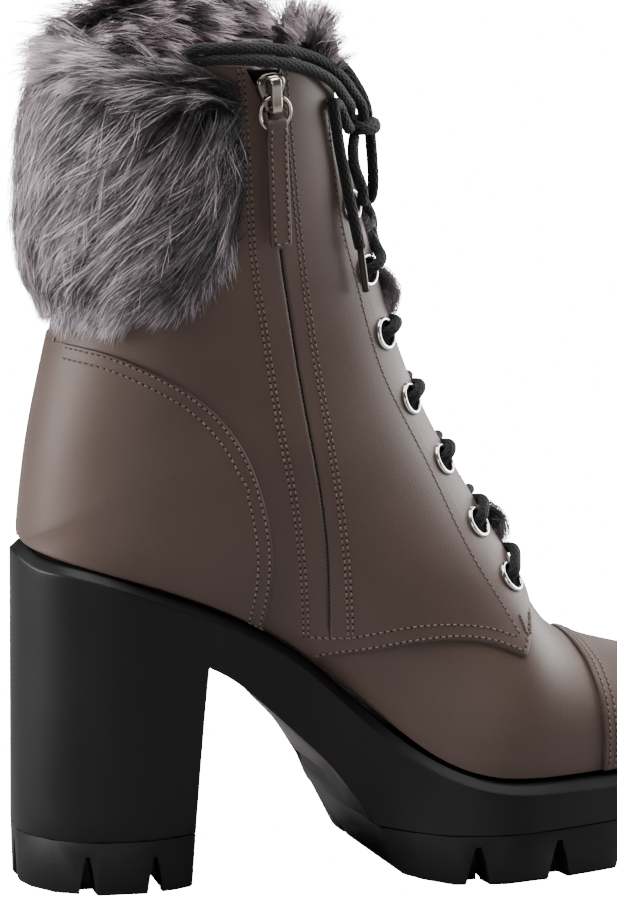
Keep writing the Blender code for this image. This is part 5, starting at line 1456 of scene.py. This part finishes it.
def comb(around, z):
    """Direction in which the fur is brushed, as (backwards, up): over the top it arches back from
    the facings, and below it falls, slanting backwards in the middle of each side."""
    away = facing_share(around)
    share = np.clip((z - 259.0 - 6.0 * away - (around < 1) * (2.0 + 8.0 * away)) / 15.0, 0, 1)
    share = share * share * (3 - 2 * share)
    fall = np.interp(away, (0, 0.2, 0.5, 0.8, 0.92, 1), (0.0, 0.26, 0.46, 0.44, 0.3, 0.16)), -0.85
    over = (np.interp(away, (0, 0.15, 0.4, 1), (0.0, 0.5, 1, 1)),
            np.interp(away, (0, 0.3, 0.6, 0.85, 1), (-1.1, -0.5, -0.1, 0.2, 0.5)))
    run, rise = ((1 - share) * below + share * above for below, above in zip(fall, over))
    size = np.hypot(run, rise)
    return run / size * np.sign(1 - around), rise / size


def painted_fur_light_and_shade(around, z):
    """How pale the fur is painted at a place: painted light makes it palest over the top and at the
    back, and painted shade makes it darkest under the arch by the facing and along the facing itself."""
    away = facing_share(around)
    near = around < 1
    # painted shade: a dark band under the arch and along the facing; painted light: paler at the back and
    # near the upper edge
    arch = np.exp(-((z - 263.0 - 4.0 * away - near * (3.0 + 5.0 * away)) / 7.5) ** 2)
    arch = arch * np.clip((away - 0.2) / 0.3, 0, 1)
    edge = np.exp(-((away - 0.9) / 0.13) ** 2) * np.clip((262.0 - z) / 20.0, 0, 1)
    top = fur_limits(around)[..., 1]
    back = 0.11 * np.clip((0.35 - away) / 0.35, 0, 1) + 0.3 * np.clip((z - top + 13.0) / 10.0, 0, 1)
    return -0.5 * arch - 0.2 * edge + back


def hair_tints(rng, hairs):
    """Tints of single hairs: most are dark, and about one in four is pale."""
    return rng.choice((-0.24, -0.06, 0.42), hairs, p=(0.45, 0.31, 0.24)) + rng.normal(0, 0.08, hairs)


def close_on_guides(rng, guide, hairs_each, spread, flare, wave):
    """Hairs round their guides (guides, steps, axes): each starts up to `spread` away, closes on
    its guide towards the tip, but for its own `flare`, and waves a little."""
    lock = np.repeat(np.arange(len(guide)), hairs_each)
    along = np.linspace(0, 1, guide.shape[1])[None, :, None]
    hairs, axes = len(lock), guide.shape[2]
    start = rng.normal(0, 1, (hairs, 1, axes)) * spread
    end = rng.normal(0, 1, (hairs, 1, axes)) * flare
    turn = rng.uniform(0, 2 * np.pi, (hairs, 1, axes))
    speed = rng.uniform(3.5, 8.0, (hairs, 1, axes))
    return lock, (guide[lock] + start * (1 - along ** 0.7) + end * along
                  + wave * np.sin(turn + speed * along) * along)


def grow_fur(seed, clumps, hairs_each, table, length, span, depth_share):
    """Fur paths: guides follow the comb over the cuff's face in locks, as far as its lower edge."""
    rng = np.random.default_rng(seed)
    around = rng.uniform(*span, clumps)
    low, top, _ = fur_limits(around).T
    z = low + 2.0 + rng.uniform(0, 1, clumps) * (top - low - 7.0)
    back = np.clip((0.3 - np.abs(around - 1)) / 0.2, 0, 1)
    room = z - low + rng.uniform(0.5, 7.5, clumps) - 5.0 * back
    size = np.minimum(length * rng.uniform(0.6, 1.2, clumps), np.maximum(room * 1.2, 7.0))
    turn = rng.normal(0, 0.13, clumps) + 0.22 * np.sin(around * 38.0 + z * 0.11)
    guide = np.zeros((clumps, HAIR_POINTS, 2))
    place, height = around, z
    for k in range(HAIR_POINTS):
        guide[:, k] = np.stack([place, height], 1)
        run, rise = comb(place, height)
        run, rise = run * np.cos(turn) - rise * np.sin(turn), run * np.sin(turn) + rise * np.cos(turn)
        place = place + run * size / (HAIR_POINTS - 1) / AROUND_MM
        height = height + rise * size / (HAIR_POINTS - 1)
    each = np.array([AROUND_MM, 1.0])
    lock, paths = close_on_guides(rng, guide, hairs_each, 1.7 / each, 1.0 / each, 0.5 / each)
    hairs = len(lock)
    along = np.linspace(0, 1, HAIR_POINTS)
    loft = (rng.uniform(0.62, 1.0, clumps)[lock] + rng.normal(0, 0.07, hairs))[:, None]
    stray = (rng.uniform(0, 1, hairs) < 0.07)[:, None] * rng.uniform(0.5, 3.5, (hairs, 1))
    rise = 1 - np.exp(-5.0 * along)
    depth = fur_depth(paths[..., 0], paths[..., 1])
    out = depth * (0.42 + (loft * depth_share - 0.42) * rise) + 0.7 + stray * along ** 1.5
    point, normal = on_shaft(table, paths[..., 0], paths[..., 1])
    # each lock's and hair's own tone, plus painted light and shade from its place on the cuff
    tint = (rng.normal(0.36, 0.1, clumps)[lock] + hair_tints(rng, hairs)
            + painted_fur_light_and_shade(paths[:, 2, 0], paths[:, 2, 1]))
    return point + normal * out[..., None], normal, np.clip(tint, 0, 1), rng


def grow_tufts(seed, roots, normals, headings, hairs_each, length, lift, drop, settle=0.0, pale=0.3):
    """Free tufts from their roots: guides leave along the normal, bend to their heading, fall by
    `drop` and settle back towards the surface; hairs close on them."""
    rng = np.random.default_rng(seed)
    count = len(roots)
    along = np.linspace(0, 1, HAIR_POINTS)[None, :, None]
    size = (length * rng.uniform(0.65, 1.15, count))[:, None, None]
    head = unit(headings + rng.normal(0, 0.22, headings.shape))[:, None]
    rise = (normals[:, None] * lift * (1 - np.exp(-3 * along)) * (1 - settle * along ** 2)
            * rng.uniform(0.6, 1.1, (count, 1, 1)))
    guide = roots[:, None] + head * size * along + rise - UP * drop * along ** 2
    lock, paths = close_on_guides(rng, guide, hairs_each, 1.1, 1.15, 0.45)
    tint = np.clip(rng.normal(pale, 0.1, count)[lock] + hair_tints(rng, len(lock)), 0, 1)
    return paths, np.repeat(normals[lock][:, None], HAIR_POINTS, 1), tint, rng


def plant_fur(name, grown, width):
    """Piece of fur from grown hair paths: their ribbons with the share along and tint of each."""
    paths, normals, tint, rng = grown
    hairs, count = paths.shape[:2]
    points, faces, along = hair_ribbons(paths, normals, width * rng.uniform(0.7, 1.3, hairs),
                                        rng.normal(0, 0.5, hairs))
    values = {"along": along, "tint": np.repeat(tint, 2 * count - 1)}
    make_object(name, points, faces, FINISH["hair"], slot="fur", values=values, closed=False)


def cuff_body(table):
    """Closed surface under the hair: a lumpy face, and a back that stays close to the shaft."""
    around = np.linspace(0.462, 1.772, 120)
    low, top, _ = fur_limits(around).T
    z = low[:, None] + 3.0 + np.linspace(0, 1, 30) * (top - low - 13.0)[:, None]
    place = np.repeat(around[:, None], z.shape[1], 1)
    lumps = 1 + 0.1 * np.sin(place * 52.0 + z * 0.19) + 0.06 * np.sin(place * 91.0 - z * 0.31)
    point, normal = on_shaft(table, place, z)
    face = point + normal * (fur_depth(place, z) * 0.66 * lumps)[..., None]
    point, normal = on_shaft(table, place, np.minimum(z, 276.0))
    back = point + normal * 1.1
    return ring_grid(closed_ends(np.concatenate([face, back[:, ::-1]], 1), 0.02))


def crest_places(rng, table):
    """Roots, normals, headings and tints of the tufts that arch back over the cuff's upper edge.  The
    tints are painted light, pale over the top, with painted shade darkening them near the inner facing.
    """
    around = np.concatenate([rng.uniform(0.46, 0.9, 400), rng.uniform(1.1, 1.76, 240)])
    top = fur_limits(around)[:, 1] - 8.0 * np.clip((around - 0.5) / 0.1, 0, 1) * (around < 1)
    z = top - rng.uniform(0.0, 7.0, len(around))
    root, out = on_shaft(table, around, z)
    root = root + out * (fur_depth(around, z) * rng.uniform(0.1, 0.8, len(around)))[:, None]
    front = np.clip((np.abs(around - 1) - 0.25) / 0.25, 0, 1)[:, None]
    heading = backwards(table, around, z) + UP * (0.05 + 0.3 * front) + out * 0.12
    # tint: painted light over the crest, painted shade near the inner facing
    return root, unit(out * 0.25 + UP), heading, 0.62 - 0.6 * np.exp(-((around - 0.5) / 0.1) ** 2)


def collar_places(rng, table):
    """Roots, normals and headings of the tufts on the cuff's inner face above the collar."""
    around = rng.uniform(0.95, 1.72, 420)
    z = 263.0 + rng.uniform(0, 1, 420) * (fur_limits(around)[:, 1] - 264.0)
    root, out = on_shaft(table, around, z)
    return root - out * 0.3, -out, UP * 0.1 - backwards(table, around, z)


def tongue_places(rng, count=320):
    """Roots, normals and headings of the tufts on the tongue's upper end."""
    v, q = rng.uniform(23.4, 24.5, count), rng.uniform(-0.18, 0.18, count)
    over = np.stack([rng.normal(0.1, 0.4, count), rng.normal(0, 0.35, count), np.ones(count)], 1)
    return form(v, q, -4.4), unit(form_normal(v, q) * 0.6 + 0.8 * UP), over


def throat_places(rng, rows, columns, out, count):
    """Roots, normals and headings down the throat of tufts between two rows and two columns."""
    v, q = rng.uniform(*rows, count), rng.uniform(*columns, count)
    return form(v, q, out), form_normal(v, q), unit(form_point(v - 0.4, q) - form_point(v, q))


FUR_LAYERS = (("locks_inner", 11, (0.47, 1.03), 1.0, 0.9, 1.0),
              ("topcoat_inner", 13, (0.465, 1.04), 1.15, 1.0, 1.0),
              ("locks_outer", 12, (0.97, 1.765), 1.1, 1.0, 0.6))    # places, length, depth, density
THROAT_TUFTS = (("low", 26, (9.6, 9.95), 15.0, 15.0, 0.35), ("middle", 27, (16.6, 17.6), 15.5, 16.0, 0.7),
                ("high", 28, (19.0, 21.4), 11.0, 12.0, 0.6))        # rows, lift, length, tint


class BOOT_OT_fur(bpy.types.Operator):
    """Grow the cuff: an undercoat body, and locks of hair brushed back and down over it"""
    bl_idname = "boot.fur"
    bl_label = "Fur cuff"

    def execute(self, context):
        build_finishes()
        fur = context.scene.boot_fur
        table = shaft_table()
        make_object("fur_undercoat_body", *cuff_body(table), FINISH["undercoat"], slot="fur",
                    replaces=("fur_cuff",))
        for name, seed, span, longer, depth_share, many in FUR_LAYERS:
            grown = grow_fur(seed, int(fur.locks * many), fur.hairs_each, table, fur.length * longer,
                             span, depth_share)
            plant_fur(f"fur_{name}", grown, fur.hair_width)
        rng = np.random.default_rng(21)

        def tufts(name, seed, places, *settings):
            plant_fur(f"fur_{name}", grow_tufts(seed, *places, *settings), fur.hair_width)

        # The pale tints of the crest, the collar face and the tongue top are painted light.
        *places, pale = crest_places(rng, table)
        tufts("crest", 24, places, 20, 24.0, 4.0, 3.5, 0.3, pale)
        tufts("collar_face", 25, collar_places(rng, table), 18, 17.0, 3.4, 3.0, 0.3, 0.9)
        tufts("tongue_top", 22, tongue_places(rng), 20, 15.0, 4.0, 3.0, 0.0, 0.45)
        tufts("throat", 23, throat_places(rng, (9.4, 21.8), (-0.05, 0.05), -6.4, 340), 12, 6.0, 2.6, 0.6)
        for name, seed, rows, lift, length, pale in THROAT_TUFTS:
            roots, normals, down = throat_places(rng, rows, (-0.05, 0.02), -5.0, 90)
            tufts(f"tuft_{name}", seed, (roots, normals, 3.0 * down), 22, length, lift, 0.0, 0.9, pale)
        return {"FINISHED"}


# ---------------------------------------------------------------- sole
def sole_edges(top_x, reach_in, reach_out):
    """Inner and outer edge points standing out past the feather line, in plan, along its normal."""
    first, last = FEATHER[0, 0], FEATHER[-1, 0]
    low, high = (np.clip(top_x + step, first, last) for step in (-0.02, 0.02))
    slope = feather(high) - feather(low)
    here = feather(top_x)
    edges = []
    for k, reach in enumerate((reach_in, reach_out)):
        normal = unit(np.stack([-slope[..., k], high - low], -1))
        normal[top_x <= first] = (-1.0, 0.0)
        normal[top_x >= last] = (1.0, 0.0)
        edges.append(np.stack([top_x, here[..., k]], -1) + np.asarray(reach)[..., None] * normal)
    return edges


# The outer edge of the underside lies behind its station, as (top_x, back).
OUTER_BACK = np.array(((60.5, 0.0), (68.0, 0.6), (79.0, 1.6), (91.0, 2.8), (102.0, 4.0), (111.0, 5.8),
                       (118.0, 8.0), (127.0, 6.5), (140.0, 3.4), (156.0, 1.0), (174.0, 0.0)))
COVER_RECESS, COVER_SPAN = 2.3, (60.0, 112.0)
WALL_SHARES = (0.02, 0.08, 0.2, 0.38, 0.58, 0.78, 0.92, 0.985)     # from the lip to the low edge
# The sole's rounded upper rim, as (reach past the feather line, height over the seat).
LIP = ((0.3, 0.0), (1.0, -0.45), (2.0, -1.4), (2.9, -2.25), (3.35, -2.7), (3.55, -3.0), (3.6, -3.4))


def sole_rings(table, stations):
    """Rings of the sole: seat, rounded lip, side wall drawn from the lip to the low edge, its
    rounded rim, and the recessed underside."""
    slide, low_z, flare_in, flare_out = easy_curve(table[:, 0], table[:, 1:], stations).T
    seat = feather_height(stations) - SEAT_DROP
    cover_z = low_z + COVER_RECESS * ((stations > COVER_SPAN[0]) & (stations < COVER_SPAN[1]))
    low_edges = sole_edges(stations, flare_in, flare_out)
    columns = []
    for k, sign in ((0, -1), (1, 1)):
        side = []
        for reach, fall in LIP:
            edge = sole_edges(stations, reach, reach)[k]
            side.append(np.stack([edge[:, 0], sign * edge[:, 1], seat + fall], 1))
        lip = side[-1]
        x = low_edges[k][:, 0] + (slide - k * np.interp(stations, *OUTER_BACK.T))
        y = np.maximum(low_edges[k][:, 1], 0)
        inset = np.maximum(y - 4.0, 0)
        foot, *inwards = (np.stack([x, sign * across, z], 1) for across, z in (
            (y, low_z), (np.maximum(y - 0.5, 0), low_z), (inset, low_z),
            (np.maximum(inset - 0.6, 0), cover_z)))
        columns.append([*side, *(lip + (foot - lip) * share for share in WALL_SHARES), *inwards])
    top = np.stack([stations, 0 * stations, seat], 1)
    middle = 0.5 * (columns[0][-1] + columns[1][-1])
    middle[:, 1] = 0
    return np.stack([top, *columns[1], middle, *columns[0][::-1]], 1)


DRESSED = (("heel_lift", "heel_top_piece", "tread", 0.5), ("forefoot_tread", "forefoot_lugs", "tread", 0.5),
           ("waist_cover", "waist_board", "waist", 0.25), ("insole", "insole_sock", "insole", 0.4))
BEVEL_ANGLE = math.radians(35)


class BOOT_OT_sole(bpy.types.Operator):
    """Build the platform and heel in one surface, and dress the treads, waist and insole"""
    bl_idname = "boot.sole"
    bl_label = "Sole"

    def execute(self, context):
        build_finishes()
        turn = np.linspace(0, np.pi, 190)
        x = FEATHER[0, 0] + (FEATHER[-1, 0] - FEATHER[0, 0]) * (0.5 - 0.5 * np.cos(turn))
        heel = np.concatenate([x[x < 58.0], [58.6, 59.0]])
        front = np.concatenate([[60.5, 60.9], x[x > 61.5]])
        rings = np.concatenate([sole_rings(SOLE_HEEL, heel), sole_rings(SOLE_FRONT, front)])
        make_object("platform_sole", *ring_grid(closed_ends(rings, 0.01)), FINISH["rubber"],
                    slot="rubber", replaces=("sole_unit",), sharp=35)
        for dressed in DRESSED:
            dress_node(*dressed)
        return {"FINISHED"}


def dress_node(node, name, finish, width):
    """Copy of a node's mesh with its doubles merged and its edges bevelled by a modifier."""
    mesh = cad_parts[node].data.copy()
    mesh.name = name
    shape = bmesh.new()
    shape.from_mesh(mesh)
    bmesh.ops.remove_doubles(shape, verts=shape.verts, dist=1e-6)
    bmesh.ops.dissolve_limit(shape, angle_limit=math.radians(1.0), verts=shape.verts, edges=shape.edges)
    shape.to_mesh(mesh)
    shape.free()
    mesh.materials.clear()
    mesh.materials.append(FINISH[finish])
    mesh.shade_smooth()
    made = bpy.data.objects.new(name, mesh)
    bpy.context.scene.collection.objects.link(made)
    bevel = made.modifiers.new("rounded_edges", "BEVEL")
    bevel.width = width * MM
    bevel.segments = 2
    bevel.limit_method = "ANGLE"
    bevel.angle_limit = BEVEL_ANGLE
    bevel.harden_normals = True
    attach(made, BODY)
    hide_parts(node)


# ---------------------------------------------------------------- stage
CAMERA_PLACE, CAMERA_AIM = (-0.3539, -1.7084, 0.5150), (0.072, 0.0, 0.14073)     # metres
LIGHT_AIM = (0.07, 0.0, 0.15)
LIGHTS = (("top_light", (0.1, -0.05, 1.35), 1.1, 24.0), ("back_left_light", (-1.25, 0.05, 0.55), 0.9, 33.0),
          ("back_right_light", (1.4, 0.36, 0.25), 1.5, 46.0), ("far_light", (0.3, 1.4, 0.8), 0.9, 8.0),
          ("camera_light", (-0.5, -1.7, 0.5), 0.9, 5.0))                         # place, size, watts
FLOOR_DROP, FLOOR_GLOW = -0.0002, 24.0


def aimed(name, data, place, target):
    """Object at a place of the scene, turned to look at its target."""
    made = bpy.data.objects.new(name, data)
    made.location = place
    made.rotation_euler = (Vector(target) - made.location).to_track_quat("-Z", "Y").to_euler()
    bpy.context.scene.collection.objects.link(made)
    return made


def lay_floor():
    """Wide pale disc just under the boot, white where the camera sees it."""
    turns = np.linspace(0, 2 * np.pi, 48, endpoint=False)
    reach = np.concatenate([[0.001], np.geomspace(0.2, 6.0, 12)])[:, None]
    x, y = reach * np.cos(turns), reach * np.sin(turns)
    points, faces = ring_grid(np.stack([x, y, np.full(x.shape, FLOOR_DROP)], -1))
    mesh = bpy.data.meshes.new("floor")
    mesh.from_pydata(points.tolist(), [], faces[:, ::-1].tolist())
    floor = bpy.data.objects.new("floor", mesh)
    material, tree, shader = new_material("pale_floor", 0.9)
    shader.inputs["Base Color"].default_value = (0.28, 0.28, 0.28, 1)
    shader.inputs["Emission Color"].default_value = (1, 1, 1, 1)
    seen = add(tree, "ShaderNodeLightPath").outputs["Is Camera Ray"]
    tree.links.new(maths(tree, "MULTIPLY", seen, FLOOR_GLOW), shader.inputs["Emission Strength"])
    mesh.materials.append(material)
    bpy.context.scene.collection.objects.link(floor)


class BOOT_OT_stage(bpy.types.Operator):
    """Set the camera, the soft lights and the pale floor"""
    bl_idname = "boot.stage"
    bl_label = "Stage"

    def execute(self, context):
        scene = context.scene
        camera = bpy.data.cameras.new("boot_camera")
        camera.lens, camera.sensor_width, camera.clip_end = 216.0, 36.0, 20.0
        scene.camera = aimed("boot_camera", camera, CAMERA_PLACE, CAMERA_AIM)
        for name, place, size, watts in LIGHTS:
            lamp = bpy.data.lights.new(name, "AREA")
            lamp.shape, lamp.size, lamp.energy = "DISK", size, watts
            aimed(name, lamp, place, LIGHT_AIM)
        world = bpy.data.worlds.new("studio")
        world.use_nodes = True
        colour, strength = world.node_tree.nodes["Background"].inputs[:2]
        colour.default_value = (1, 1, 1, 1)
        strength.default_value = 0.08
        scene.world = world
        lay_floor()
        return {"FINISHED"}


# ---------------------------------------------------------------- properties and panel
def colour_property(name, description, default):
    """Colour setting of the panel."""
    return bpy.props.FloatVectorProperty(name=name, description=description, default=default,
                                         subtype="COLOR", size=3, min=0.0, max=1.0)


def number_property(name, description, default, low, high, kind=bpy.props.FloatProperty):
    """Number setting of the panel between two limits."""
    return kind(name=name, description=description, default=default, min=low, max=high)


class BootLeather(bpy.types.PropertyGroup):
    """Sizes and colours of the leather and its stitching"""
    colour: colour_property("Leather colour", "Base colour of the smooth leather",
                            (0.0885, 0.0525, 0.0415))
    thread_colour: colour_property("Thread colour", "Colour of the sewing thread", (0.215, 0.15, 0.13))
    grain_cells: number_property("Grain", "Cells of the grain in a metre", 2500.0, 200.0, 5000.0)
    mesh_pitch: number_property("Mesh pitch", "Millimetres between grid lines", 1.85, 0.8, 6.0)
    stitch_pitch: number_property("Stitch pitch", "Millimetres from stitch to stitch", 2.25, 1.0, 6.0)
    stitch_length: number_property("Stitch length", "Millimetres of thread that show", 1.5, 0.5, 5.0)


class BootRubber(bpy.types.PropertyGroup):
    """Colour and gloss of the sole's rubber"""
    colour: colour_property("Rubber colour", "Base colour of the sole", (0.004, 0.0037, 0.0038))
    roughness: number_property("Roughness", "Dullness of the sole", 0.42, 0.05, 1.0)


class BootFur(bpy.types.PropertyGroup):
    """Length, density and colours of the fur"""
    length: number_property("Length", "Millimetres of hair that show", 26.0, 5.0, 80.0)
    locks: number_property("Locks", "Locks of each layer of the cuff", 1600, 10, 4000,
                           bpy.props.IntProperty)
    hairs_each: number_property("Hairs", "Hairs in each lock", 13, 2, 80, bpy.props.IntProperty)
    hair_width: number_property("Hair width", "Millimetres across a hair ribbon", 0.2, 0.05, 2.0)
    root_colour: colour_property("Root colour", "Colour of the fur at the skin", (0.006, 0.0045, 0.0052))
    middle_colour: colour_property("Middle colour", "Colour halfway along a hair", (0.075, 0.059, 0.067))
    tip_colour: colour_property("Tip colour", "Colour of the hair's tip", (0.62, 0.54, 0.575))


class BOOT_PT_panel(bpy.types.Panel):
    """Lists the boot's properties and operators"""
    bl_label = "Boot"
    bl_idname = "BOOT_PT_panel"
    bl_space_type = "VIEW_3D"
    bl_region_type = "UI"
    bl_category = "Boot"

    def draw(self, context):
        layout = self.layout
        for name in GROUP_CLASSES:
            box = layout.box()
            settings = getattr(context.scene, name)
            for key in settings.__annotations__:
                box.prop(settings, key)
        for operator in OPERATORS:
            layout.operator(operator.bl_idname)


OPERATORS = (BOOT_OT_stage, BOOT_OT_laces, BOOT_OT_upper, BOOT_OT_quarters, BOOT_OT_counter,
             BOOT_OT_toe_cap, BOOT_OT_stitching, BOOT_OT_zip, BOOT_OT_slider, BOOT_OT_eyelets,
             BOOT_OT_tongue, BOOT_OT_sole, BOOT_OT_fur)
GROUP_CLASSES = {"boot_leather": BootLeather, "boot_rubber": BootRubber, "boot_fur": BootFur}


def register():
    for kind in (*GROUP_CLASSES.values(), *OPERATORS, BOOT_PT_panel):
        bpy.utils.register_class(kind)
    for name, kind in GROUP_CLASSES.items():
        setattr(bpy.types.Scene, name, bpy.props.PointerProperty(type=kind))


def unregister():
    for name in GROUP_CLASSES:
        delattr(bpy.types.Scene, name)
    for kind in (BOOT_PT_panel, *OPERATORS[::-1], *GROUP_CLASSES.values()):
        bpy.utils.unregister_class(kind)


def main():
    register()
    bpy.ops.boot.stage()
    bpy.ops.boot.laces()
    bpy.ops.boot.upper()
    bpy.ops.boot.quarters()
    bpy.ops.boot.counter()
    bpy.ops.boot.toe_cap()
    bpy.ops.boot.stitching()
    bpy.ops.boot.zip()
    bpy.ops.boot.slider()
    bpy.ops.boot.eyelets()
    bpy.ops.boot.tongue()
    bpy.ops.boot.sole()
    bpy.ops.boot.fur()


if __name__ == "__main__":
    main()
